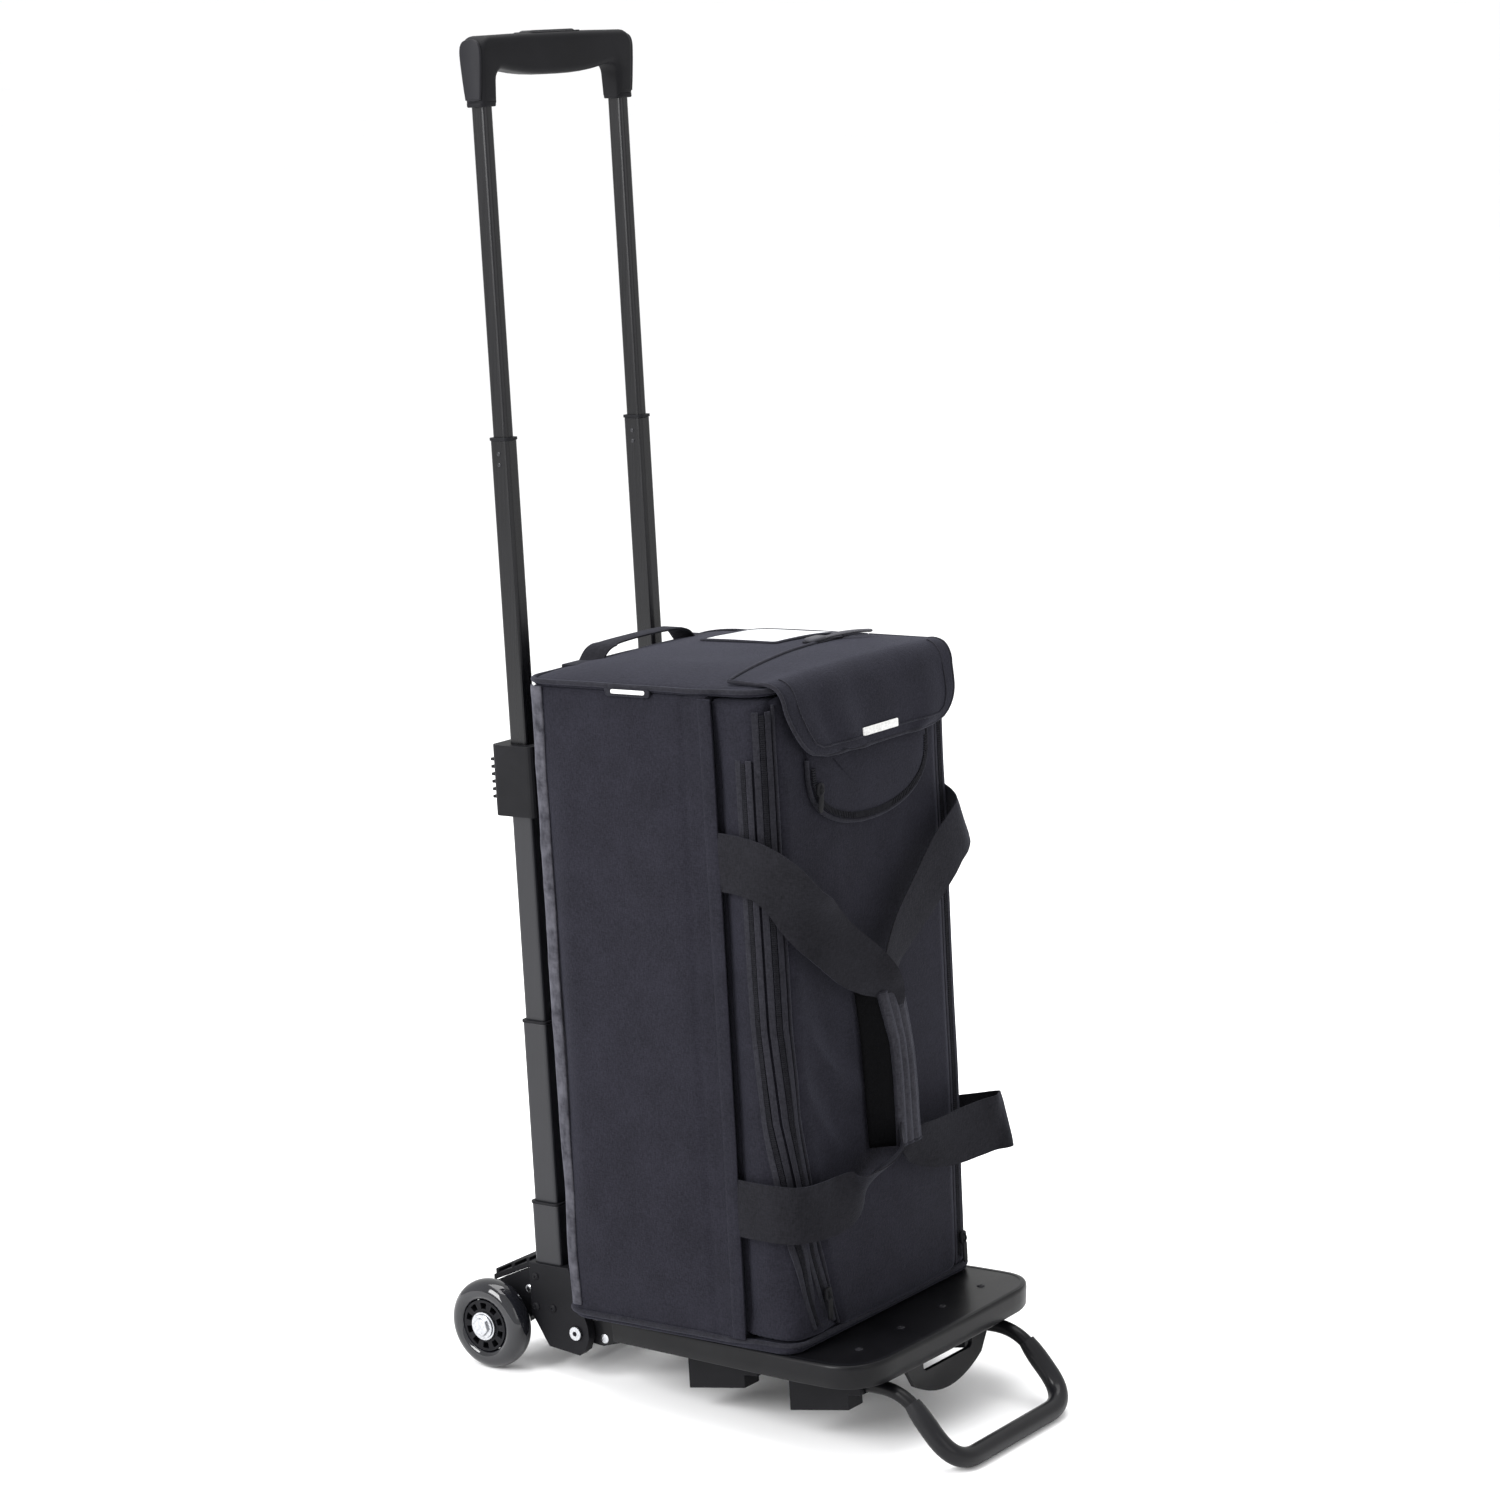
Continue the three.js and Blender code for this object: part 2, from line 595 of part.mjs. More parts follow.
const SLEEVE_TOP = { y: -366, z: -17 };
const sleevePoints = footPoints.slice(1, 5);
sleevePoints[0] = [-FOOT_X, SLEEVE_TOP.y, SLEEVE_TOP.z];
sleevePoints[3] = [FOOT_X, SLEEVE_TOP.y, SLEEVE_TOP.z];
const sleevePath = roundedPath(sleevePoints, [27, 27]);
const sleeveOuter = sweep(SLEEVE_R, sleevePath, 36, 12);
const PAD = { half: 44, depth: 4.5 };
// The pad's flat underside lies level on the floor, so it is turned back by the lean.
const sleevePad = new THREE.BoxGeometry(2 * PAD.half, 2 * PAD.depth, 4)
  .translate(0, 0, -SLEEVE_R + 2)
  .rotateX(LEAN)
  .translate(0, FOOT_BAR_CENTRE.y, FOOT_BAR_CENTRE.z);
const barClearance = sweep(FOOT_R + GAP, footPath, FOOT_STEPS, FOOT_SIDES);
add('foot_sleeve', cut(join(sleeveOuter, sleevePad), barClearance), softRubber);

for (const { name, sign } of SIDES) {
  const guide = polygon([
    [-171, DECK.under - GAP],
    [-171, -30],
    [-222, -22],
    [-222, -12],
    [-234, -11],
    [-234, 8],
    [-262, 8],
    [-262, -32],
    [-314, -23.5],
    [-314, -12],
    [-325, -11],
    [-325, DECK.under - GAP],
  ]);
  const [low, high] = span(sign, FOOT_X - 9, FOOT_X + 9);
  const bore = prismY(disc(FOOT_R + GAP, sign * FOOT_X, FOOT_Z), -330, -165);
  add(`foot_guide_${name}`, cut(prismX(guide, low, high), bore), satinPlastic);
}

// ---------- bag ----------
// The plan outline, drawn inset by the given amount: a wide rear shell and a narrower front part.
function bagOutline(inset) {
  const shape = new THREE.Shape();
  const wide = BAG.half - inset;
  const narrow = BAG_STEP.half - inset;
  const back = BAG.back - inset;
  const front = BAG.front + inset;
  shape.moveTo(-wide + 20, back);
  shape.quadraticCurveTo(-wide, back, -wide, back - 20);
  shape.lineTo(-wide, BAG_STEP.y);
  shape.lineTo(-narrow, BAG_STEP.y - 2);
  shape.lineTo(-narrow, front + 8);
  shape.quadraticCurveTo(-narrow, front, -narrow + 6, front);
  shape.lineTo(narrow - 6, front);
  shape.quadraticCurveTo(narrow, front, narrow, front + 8);
  shape.lineTo(narrow, BAG_STEP.y - 2);
  shape.lineTo(wide, BAG_STEP.y);
  shape.lineTo(wide, back - 20);
  shape.quadraticCurveTo(wide, back, wide - 20, back);
  return shape;
}
const BAG_EDGE = 4; // the top and bottom edges step in by this much
const bagBlock = join(
  prismZ(bagOutline(0), BAG.bottom + BAG_EDGE, BAG.top - BAG_EDGE, 4),
  prismZ(bagOutline(BAG_EDGE), BAG.bottom, BAG.top, 4),
);
const bagCavity = box(
  -BAG_STEP.half + BAG.wall, BAG_STEP.half - BAG.wall,
  BAG.front - 1, BAG.back - BAG.wall,
  BAG.bottom + BAG.wall + 2, BAG.top - BAG.wall - 2,
);
add('bag_body', cut(bagBlock, bagCavity), bagCloth);

const panelHeight = PANEL.top - PANEL.bottom;
const panelMid = (PANEL.top + PANEL.bottom) / 2;
const panelShape = roundedRect(2 * PANEL.half, panelHeight, PANEL.corner, 0, panelMid);
add('bag_front_panel', prismY(panelShape, PANEL.front, BAG.front - GAP, 5), bagCloth);

const flapTop = BAG.top + 2 * GAP;
const flapFront = PANEL.front - 2 * GAP;
const flapDropShape = new THREE.Shape();
flapDropShape.moveTo(-FLAP.half, flapTop + 1);
flapDropShape.lineTo(-FLAP.half, FLAP.drop + 24);
flapDropShape.quadraticCurveTo(-FLAP.half, FLAP.drop, -FLAP.half + 24, FLAP.drop);
flapDropShape.lineTo(FLAP.half - 24, FLAP.drop);
flapDropShape.quadraticCurveTo(FLAP.half, FLAP.drop, FLAP.half, FLAP.drop + 24);
flapDropShape.lineTo(FLAP.half, flapTop + 1);
const flapDrop = prismY(flapDropShape, flapFront - FLAP.thick, flapFront, 5);
const flapLid = box(
  -FLAP.half, FLAP.half,
  flapFront - FLAP.thick, FLAP.back,
  flapTop, flapTop + FLAP.thick,
);
add('bag_flap', join(flapDrop, flapLid), bagCloth);

const pocketShape = new THREE.Shape();
pocketShape.moveTo(-72, FLAP.drop - 3);
pocketShape.lineTo(-72, 432);
pocketShape.bezierCurveTo(-66, 378, 66, 378, 72, 432);
pocketShape.lineTo(72, FLAP.drop - 3);
add('front_pocket', prismY(pocketShape, PANEL.front - 6, PANEL.front - GAP, 12), bagCloth);

const windowShape = roundedRect(82, 64, 4, 52, -178);
add('card_window', prismZ(windowShape, BAG.top + GAP, BAG.top + 1.6), clearWindow);

// Each carry strap runs from the side seam round the front corner to the middle, above and below,
// and passes down through the padded wrap.
function strapPlan(reach) {
  const route = [
    [-121.2, -STRAP.side],
    [-121.2, -294],
    [-116, -304],
    [-70, -reach + 1.5],
    [-30, -reach],
    [20, -reach],
  ];
  const outside = route.map(([x, y], i) => {
    const [ax, ay] = route[Math.max(i - 1, 0)];
    const [bx, by] = route[Math.min(i + 1, route.length - 1)];
    const length = Math.hypot(bx - ax, by - ay);
    return [x + (STRAP.thick * (by - ay)) / length, y - (STRAP.thick * (bx - ax)) / length];
  });
  return polygon([...route, ...outside.reverse()]);
}

function slopeTo(geometry, sideZ, middleZ) {
  const position = geometry.attributes.position;
  for (let i = 0; i < position.count; i += 1) {
    const inwards = THREE.MathUtils.clamp((position.getX(i) + 112) / 82, 0, 1);
    position.setZ(i, position.getZ(i) + sideZ + (middleZ - sideZ) * inwards);
  }
  return geometry;
}

// Mirrors an indexed geometry in X and turns its triangles the right way out again.
function mirrored(geometry) {
  geometry.applyMatrix4(new THREE.Matrix4().makeScale(-1, 1, 1));
  return geometry.setIndex(new THREE.BufferAttribute(geometry.index.array.toReversed(), 1));
}

const WRAP_CLEAR = 1.5;
for (const { name, sign } of SIDES) {
  const reach = name === 'left' ? 313.2 : 315.8;
  const half = STRAP.width / 2;
  const highMiddle = WRAP.top + half + WRAP_CLEAR;
  const lowMiddle = WRAP.bottom - half - WRAP_CLEAR;
  const upper = slopeTo(prismZ(strapPlan(reach), -half, half), STRAP.upper, highMiddle);
  const lower = slopeTo(prismZ(strapPlan(reach), -half, half), STRAP.lower, lowMiddle);
  const fall = box(-20, 20, -reach - STRAP.thick, -reach, lowMiddle, highMiddle);
  const strap = join(upper, lower, fall);
  add(`carry_strap_${name}`, sign > 0 ? mirrored(strap) : strap, trimCloth);
}
const wrapMiddle = (WRAP.front + WRAP.back) / 2;
const wrapShape = withHoles(
  roundedRect(2 * WRAP.half, WRAP.back - WRAP.front, 4, 0, wrapMiddle),
  [roundedRect(42, 6, 1, 0, wrapMiddle)],
);
add('handle_wrap', prismZ(wrapShape, WRAP.bottom, WRAP.top), trimCloth);

const grabShape = polygon([
  [-60, BAG.top + GAP],
  [-48, BAG.top + 12],
  [48, BAG.top + 12],
  [60, BAG.top + GAP],
  [56, BAG.top + GAP],
  [46.5, BAG.top + 9.6],
  [-46.5, BAG.top + 9.6],
  [-56, BAG.top + GAP],
]);
add('grab_handle', prismY(grabShape, -114, -90), trimCloth);

const trolley = new THREE.Group();
trolley.add(cart);

export default trolley;
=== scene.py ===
"""Folding luggage trolley with an upright padded bag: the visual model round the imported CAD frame.

Shapes are drawn in the cart frame: millimetres, origin on the wheel axle, Z along the handle
tubes, Y backwards. CART turns them into the row frame in metres.
"""

import json
import math

import bmesh
import bpy
import numpy as np
from mathutils import Matrix, Vector, noise

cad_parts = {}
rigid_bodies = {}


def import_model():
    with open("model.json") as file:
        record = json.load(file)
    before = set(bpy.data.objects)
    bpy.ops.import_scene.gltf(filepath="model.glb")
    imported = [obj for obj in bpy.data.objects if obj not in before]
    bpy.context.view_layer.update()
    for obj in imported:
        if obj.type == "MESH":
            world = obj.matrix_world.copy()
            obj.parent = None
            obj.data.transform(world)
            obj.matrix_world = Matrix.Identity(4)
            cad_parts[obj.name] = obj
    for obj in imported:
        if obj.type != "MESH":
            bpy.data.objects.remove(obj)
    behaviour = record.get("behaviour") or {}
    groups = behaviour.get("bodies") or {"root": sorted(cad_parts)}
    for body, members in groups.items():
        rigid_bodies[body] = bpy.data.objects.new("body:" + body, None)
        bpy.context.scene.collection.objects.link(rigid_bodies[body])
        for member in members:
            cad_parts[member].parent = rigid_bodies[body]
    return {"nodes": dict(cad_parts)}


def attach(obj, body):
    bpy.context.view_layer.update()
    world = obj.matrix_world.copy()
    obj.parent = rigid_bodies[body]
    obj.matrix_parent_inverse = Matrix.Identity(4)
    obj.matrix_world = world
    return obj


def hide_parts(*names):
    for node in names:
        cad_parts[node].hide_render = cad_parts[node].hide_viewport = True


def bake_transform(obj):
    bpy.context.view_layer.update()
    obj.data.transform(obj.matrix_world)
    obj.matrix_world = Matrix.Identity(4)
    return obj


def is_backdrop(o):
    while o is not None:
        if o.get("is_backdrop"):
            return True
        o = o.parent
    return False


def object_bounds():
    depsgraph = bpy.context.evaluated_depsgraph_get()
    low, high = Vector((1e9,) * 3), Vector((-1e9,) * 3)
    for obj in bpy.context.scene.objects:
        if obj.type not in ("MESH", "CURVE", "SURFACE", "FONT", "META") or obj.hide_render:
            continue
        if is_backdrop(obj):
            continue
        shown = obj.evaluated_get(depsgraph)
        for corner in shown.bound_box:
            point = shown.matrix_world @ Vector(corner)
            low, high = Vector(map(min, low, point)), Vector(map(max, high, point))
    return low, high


for leftover in list(bpy.data.objects):
    bpy.data.objects.remove(leftover, do_unlink=True)
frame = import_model()
CAD_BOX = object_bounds()

# ---------- dimensions shared with the CAD ----------
MM = 0.001
LEAN = math.radians(3.84)
AXLE = Vector((0, 186.65, 34.2))
CART = (
    Matrix.Translation(AXLE * MM)
    @ Matrix.Rotation(-LEAN, 4, "X")
    @ Matrix.Scale(MM, 4)
)
SIDES = (("left", -1), ("right", 1))
TUBE_X, TUBE_Y = 78.8, -46.8
WHEEL_X = 104
HOUSING_FACE, PIN_FACE = 92.2, 94.7  # outer faces of the base housing and of the pivot pins
SPRING_LOW, SPRING_HIGH = 930, 937.8  # ends of the return spring

BAG_HALF, BAG_BACK, BAG_FRONT = 119, -83.5, -292.5
GUSSET_HALF, GUSSET_BACK = 115.5, -248
SHELL_BOTTOM, SHELL_TOP = 28, 496
CORNER_FRONT, CORNER_REAR = 14, 17
DOME = 11
RIBBON_POINTS = 7  # points on each face of a webbing section
WIDE_BEVEL = 0.5  # bevels from this width take a third segment
BAR_FACES = [[0, 1, 3, 2], [4, 6, 7, 5], [0, 4, 5, 1], [2, 3, 7, 6], [0, 2, 6, 4], [1, 5, 7, 3]]
FRONT_HALF = GUSSET_HALF - CORNER_FRONT


# ---------- materials ----------
class Shader:
    """Builds one node material round a Principled shader."""

    def __init__(self, name, colour, roughness, **sockets):
        self.material = bpy.data.materials.new(name)
        self.material.use_nodes = True
        self.tree = self.material.node_tree
        self.surface = self.tree.nodes["Principled BSDF"]
        self.adjust(self.surface, Base_Color=(*colour, 1), Roughness=roughness, **sockets)
        self.place = self.node("ShaderNodeTexCoord").outputs["Object"]

    def adjust(self, node, **settings):
        """Sets a node's own settings, or else its sockets, by name."""
        for key, value in settings.items():
            if hasattr(node, key):
                setattr(node, key, value)
            else:
                node.inputs[key.replace("_", " ")].default_value = value
        return node

    def node(self, kind, **settings):
        return self.adjust(self.tree.nodes.new(kind), **settings)

    def link(self, source, target):
        self.tree.links.new(source, target)

    def noise(self, scale, detail=3, stretch=(1, 1, 1)):
        mapping = self.node("ShaderNodeMapping", vector_type="POINT", Scale=stretch)
        self.link(self.place, mapping.inputs["Vector"])
        made = self.node("ShaderNodeTexNoise", Scale=scale, Detail=detail, Roughness=0.55)
        self.link(mapping.outputs["Vector"], made.inputs["Vector"])
        return made.outputs["Fac"]

    def math(self, operation, a, b):
        made = self.node("ShaderNodeMath", operation=operation)
        for socket, value in zip(made.inputs, (a, b)):
            if isinstance(value, (int, float)):
                socket.default_value = value
            else:
                self.link(value, socket)
        return made.outputs[0]

    def ramp(self, value, stops):
        """A ramp between two (position, colour) stops."""
        made = self.node("ShaderNodeValToRGB")
        for element, (position, colour) in zip(made.color_ramp.elements, stops):
            element.position = position
            element.color = (*colour, 1)
        self.link(value, made.inputs["Fac"])
        return made.outputs["Color"]

    def span(self, value, low, high):
        made = self.node("ShaderNodeMapRange", To_Min=low, To_Max=high)
        self.link(value, made.inputs["Value"])
        return made.outputs["Result"]

    def edges(self, radius):
        """Near 1 within the radius of a sharp edge, 0 on flat faces."""
        bevel = self.node("ShaderNodeBevel", samples=4, Radius=radius)
        flat = self.node("ShaderNodeNewGeometry").outputs["Normal"]
        dot = self.node("ShaderNodeVectorMath", operation="DOT_PRODUCT")
        self.link(bevel.outputs["Normal"], dot.inputs[0])
        self.link(flat, dot.inputs[1])
        return self.ramp(dot.outputs["Value"], [(0.86, (1, 1, 1)), (0.99, (0, 0, 0))])

    def tint(self, base, factor, colour):
        mix = self.node("ShaderNodeMix", data_type="RGBA", blend_type="MIX")
        self.link(factor, mix.inputs[0])
        self.link(base, mix.inputs[6])
        mix.inputs[7].default_value = (*colour, 1)
        return mix.outputs[2]

    def finish(self, colour, roughness, height, distance, strength):
        """Links the colour, the roughness and the bump, and gives the material."""
        bump = self.node("ShaderNodeBump", Strength=strength, Distance=distance)
        self.link(height, bump.inputs["Height"])
        self.link(colour, self.surface.inputs["Base Color"])
        self.link(roughness, self.surface.inputs["Roughness"])
        self.link(bump.outputs["Normal"], self.surface.inputs["Normal"])
        return self.material


def scaled(colour, factor, offset=0.0):
    return tuple(channel * factor + offset for channel in colour)


def fabric(name, dark, light, thread, depth, sheen=0.08, mottle=38, patchy=0.32):
    """Woven cloth: slubs run along two thread directions, over soft mottling and a faint sheen."""
    made = Shader(name, dark, 0.86, Specular_IOR_Level=0.08, Sheen_Weight=sheen,
                  Sheen_Roughness=0.5, Sheen_Tint=(0.5, 0.52, 0.68, 1))
    count = 0.8 / thread
    upright = made.noise(count, 2, (1, 1, 0.3))
    level = made.noise(count, 2, (0.35, 0.35, 1))
    threads = made.math("ADD", upright, level)
    cloudy = made.noise(mottle, 4)
    shade = made.math("ADD", made.math("MULTIPLY", threads, 0.58 - 0.5 * patchy),
                      made.math("MULTIPLY", cloudy, patchy))
    return made.finish(made.ramp(shade, [(0.36, dark), (0.74, light)]),
                       made.span(cloudy, 0.78, 0.95), threads, depth, 0.7)


def plastic(name, colour, wear, roughness, grain, depth=0.00006, coat=0.0):
    """Moulded plastic: fine spark texture, paler rubbed edges, uneven gloss."""
    made = Shader(name, colour, roughness, Specular_IOR_Level=0.12, Coat_Weight=coat,
                  Coat_Roughness=0.12)
    fine = made.noise(grain, 2)
    broad = made.noise(26, 4)
    base = made.ramp(broad, [(0.3, colour), (0.75, scaled(colour, 1.45, 0.002))])
    gloss = made.span(made.math("ADD", broad, fine), roughness - 0.07, roughness + 0.16)
    return made.finish(made.tint(base, made.edges(0.0009), wear), gloss, fine, depth, 0.5)


def painted_tube(name, colour, wear, roughness):
    """Anodised tube: faint drawing lines along its length and worn corners."""
    made = Shader(name, colour, roughness, Metallic=0.3, Specular_IOR_Level=0.45)
    lines = made.noise(900, 3, (1, 1, 0.02))
    mixed = made.math("MULTIPLY", made.math("ADD", lines, made.noise(14, 3)), 0.5)
    base = made.ramp(mixed, [(0.35, colour), (0.7, scaled(colour, 1.5))])
    return made.finish(made.tint(base, made.edges(0.0006), wear),
                       made.span(lines, roughness - 0.06, roughness + 0.12), lines, 0.00004, 0.4)


def bright_metal(name, colour, roughness):
    """Turned steel with circular tool marks worn uneven."""
    made = Shader(name, colour, roughness, Metallic=1.0)
    marks = made.noise(420, 3, (6, 1, 1))
    return made.finish(made.ramp(marks, [(0.3, scaled(colour, 0.72)), (0.7, colour)]),
                       made.span(marks, roughness - 0.08, roughness + 0.14), marks, 0.00003, 0.4)


def clear_plastic(name, colour, transmission, roughness):
    """Cast translucent plastic with cloudy patches and fine surface ripple."""
    made = Shader(name, colour, roughness, IOR=1.5, Transmission_Weight=transmission)
    cloudy = made.noise(60, 3)
    return made.finish(made.ramp(cloudy, [(0.3, scaled(colour, 0.8)), (0.75, colour)]),
                       made.span(cloudy, roughness * 0.7, roughness * 1.6),
                       made.noise(500, 2), 0.00003, 0.3)


MATERIALS = {
    "cloth": fabric("bag_cloth", (0.0030, 0.0029, 0.0048), (0.0128, 0.0124, 0.0178), 0.0007, 0.00035),
    "webbing": fabric("strap_webbing", (0.0024, 0.0024, 0.0031), (0.0098, 0.0095, 0.0120),
                      0.0009, 0.0004, 0.06),
    # near black: the wrap's side and the sheet behind its face, painted shade of the hollow behind the
    # wrap
    "side_and_painted_shade": fabric("near_black_side_and_painted_shade", (0.0004, 0.0004, 0.0006), (0.0016, 0.0016, 0.0022),
                     0.0010, 0.0005, 0.0),
    "binding": fabric("edge_binding", (0.0045, 0.0044, 0.0060), (0.0165, 0.0162, 0.0205),
                      0.0009, 0.0003, 0.1),
    "ribbed": fabric("wrap_face", (0.0085, 0.0083, 0.0108), (0.027, 0.0265, 0.032),
                     0.0010, 0.0004, 0.1),
    # lighter than the cloth: painted highlight of the light catching the bag's rear corners
    "strip": fabric("corner_highlight_strip", (0.010, 0.010, 0.013), (0.062, 0.061, 0.072),
                    0.0016, 0.0003, 0.1, 110, 0.8),
    # zip coils, and also the near-black discs painted as shade in the screw sockets
    "zip": fabric("zip_coil_and_socket_shade", (0.0022, 0.0022, 0.0030), (0.0085, 0.0085, 0.0105),
                  0.0013, 0.0005, 0.05),
    "label": fabric("blank_label", (0.44, 0.44, 0.43), (0.72, 0.72, 0.71), 0.0008, 0.0001, 0.0),
    "satin": plastic("satin_plastic", (0.0026, 0.0026, 0.0036), (0.012, 0.0125, 0.015), 0.42, 2600),
    "gloss": plastic("gloss_plastic", (0.0016, 0.0016, 0.0022), (0.009, 0.0095, 0.012),
                     0.24, 1800, 0.00003, 0.05),
    "button": plastic("button_plastic", (0.0065, 0.0065, 0.0082), (0.027, 0.027, 0.031), 0.34, 3000),
    "puller": plastic("grey_puller", (0.04, 0.04, 0.047), (0.13, 0.13, 0.14), 0.36, 3000),
    "tube": painted_tube("tube_paint", (0.0016, 0.0016, 0.0024), (0.02, 0.0205, 0.025), 0.26),
    # a lighter copy of the tube paint: painted reflection on the lower tubes
    "tube_painted_reflection": painted_tube("tube_paint_painted_reflection", (0.0070, 0.0071, 0.0092), (0.05, 0.05, 0.058), 0.34),
    "steel": bright_metal("bright_steel", (0.50, 0.51, 0.53), 0.26),
    "tyre": clear_plastic("clear_tyre", (0.012, 0.0125, 0.016), 0.3, 0.05),
    "film": clear_plastic("window_film", (0.66, 0.67, 0.69), 0.05, 0.2),
    "rubber": plastic("sleeve_rubber", (0.0030, 0.0030, 0.0040), (0.010, 0.010, 0.0125),
                      0.30, 2200, 0.00006, 0.18),
}


# ---------- mesh helpers ----------
def part(name, shapes, material, body="bag", sharp=38):
    """Makes a piece of cart frame (points, faces) shapes; with body None the caller rides it."""
    points, faces = [], []
    for shape_points, shape_faces in shapes:
        start = len(points)
        points += [tuple(p) for p in shape_points]
        faces += [[start + i for i in face] for face in shape_faces]
    mesh = bpy.data.meshes.new(name)
    mesh.from_pydata(points, [], faces)
    mesh.transform(CART)
    mesh.validate()
    work = bmesh.new()
    work.from_mesh(mesh)
    bmesh.ops.remove_doubles(work, verts=work.verts, dist=1e-7)
    bmesh.ops.recalc_face_normals(work, faces=work.faces)
    for face in work.faces:
        face.smooth = True
    work.to_mesh(mesh)
    work.free()
    mesh.set_sharp_from_angle(angle=math.radians(sharp))
    mesh.materials.append(MATERIALS[material])
    piece = bpy.data.objects.new(name, mesh)
    bpy.context.scene.collection.objects.link(piece)
    if body:
        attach(piece, body)
    return piece


def thickened(piece, thickness):
    """Gives a sheet a thickness in millimetres, half to each side."""
    solid = piece.modifiers.new("Thickness", "SOLIDIFY")
    solid.thickness = thickness * MM
    solid.offset = 0


def sheet_faces(grid):
    """Points and faces of a grid of points given row by row."""
    columns = len(grid[0])
    faces = [
        [r * columns + c, r * columns + c + 1, (r + 1) * columns + c + 1, (r + 1) * columns + c]
        for r in range(len(grid) - 1) for c in range(columns - 1)
    ]
    return [p for row in grid for p in row], faces


def ring_bridge(rings):
    """Points and faces of equal rings in order; both ends are closed with one face."""
    count = len(rings[0])
    faces = []
    for start in range(0, (len(rings) - 1) * count, count):
        for i in range(count):
            j = (i + 1) % count
            faces.append([start + i, start + j, start + count + j, start + count + i])
    faces.append(list(range(count)))
    faces.append([(len(rings) - 1) * count + i for i in range(count)])
    return [p for ring in rings for p in ring], faces


def inset(outline, amount):
    """A closed 2-D outline moved inwards by amount along its corner bisectors."""
    points = np.array(outline, float)
    before, after = np.roll(points, 1, 0) - points, np.roll(points, -1, 0) - points
    before /= np.linalg.norm(before, axis=1)[:, None]
    after /= np.linalg.norm(after, axis=1)[:, None]
    normal = np.stack([-(after - before)[:, 1], (after - before)[:, 0]], 1)
    normal /= np.linalg.norm(normal, axis=1)[:, None]
    share = np.clip(np.abs(normal[:, 0] * -after[:, 1] + normal[:, 1] * after[:, 0]), 0.5, 1)
    return points + normal * (amount / share)[:, None]


def slab(outline, low, high, edge, place, steps=3):
    """A counter-clockwise outline given thickness, with its edges rounded by edge."""
    outline = [p for p, q in zip(outline, outline[1:] + outline[:1]) if math.dist(p, q) > 1e-4]
    quarter = [math.pi / 2 * k / steps for k in range(steps + 1)]
    rings = []
    for face, way, angles in ((low, 1, quarter), (high, -1, quarter[::-1])):
        for angle in angles:
            depth = face + way * edge * (1 - math.cos(angle))
            rings.append([place(u, v, depth) for u, v in inset(outline, edge * (1 - math.sin(angle)))])
    return ring_bridge(rings)


def plan(u, v, w):
    return (u, v, w)


def front_view(u, v, w):
    return (u, -w, v)


def side_view(u, v, w):
    return (w, u, v)


def left_view(u, v, w):
    return (-w, u, v)


def corner_points(centre, radius, start, end, steps=6):
    cx, cy = centre
    made = []
    for k in range(steps + 1):
        angle = math.radians(start + (end - start) * k / steps)
        made.append((cx + radius * math.cos(angle), cy + radius * math.sin(angle)))
    return made


def round_rect(x0, x1, y0, y1, radius, steps=6):
    """A counter-clockwise rounded rectangle; radius is one number or four, from the lower left."""
    a, b, c, d = radius if isinstance(radius, tuple) else (radius,) * 4
    return (
        corner_points((x0 + a, y0 + a), a, 180, 270, steps)
        + corner_points((x1 - b, y0 + b), b, 270, 360, steps)
        + corner_points((x1 - c, y1 - c), c, 0, 90, steps)
        + corner_points((x0 + d, y1 - d), d, 90, 180, steps)
    )


def smooth_path(points, per_span=6):
    """A Catmull-Rom curve through the points."""
    p = [np.array(q, float) for q in points]
    p = [2 * p[0] - p[1]] + p + [2 * p[-1] - p[-2]]
    made = []
    for i in range(1, len(p) - 2):
        for k in range(per_span):
            t = k / per_span
            made.append(0.5 * (
                2 * p[i] + (p[i + 1] - p[i - 1]) * t
                + (2 * p[i - 1] - 5 * p[i] + 4 * p[i + 1] - p[i + 2]) * t * t
                + (3 * p[i] - 3 * p[i + 1] + p[i + 2] - p[i - 1]) * t ** 3
            ))
    made.append(p[-2])
    return made


def bent(start, control, end, steps=9):
    """A quadratic curve from start to end."""
    return [
        tuple(
            a * (1 - t) ** 2 + 2 * c * t * (1 - t) + b * t * t for a, c, b in zip(start, control, end)
        )
        for t in (k / steps for k in range(steps + 1))
    ]


def filleted(points, radii, steps=7):
    """A polyline whose inner corners are rounded; radii are the lengths taken off both sides."""
    p = [Vector(q) for q in points]
    made = [p[0]]
    for before, corner, after, cut in zip(p, p[1:], p[2:], radii):
        start = corner + (before - corner).normalized() * cut
        end = corner + (after - corner).normalized() * cut
        made += [Vector(q) for q in bent(start, corner, end, steps)]
    return made + [p[-1]]


def densified(path, step, closed=True):
    """The path with points added where they are further apart than step."""
    p = [Vector(q) for q in path]
    made = []
    for a, b in zip(p, p[1:] + (p[:1] if closed else [])):
        count = max(1, int((b - a).length / step))
        made += [a.lerp(b, k / count) for k in range(count)]
    return made if closed else made + [p[-1]]


def guide_for(direction):
    """An axis well away from a direction."""
    return Vector((0, 0, 1)) if abs(direction.z) < 0.9 else Vector((0, 1, 0))


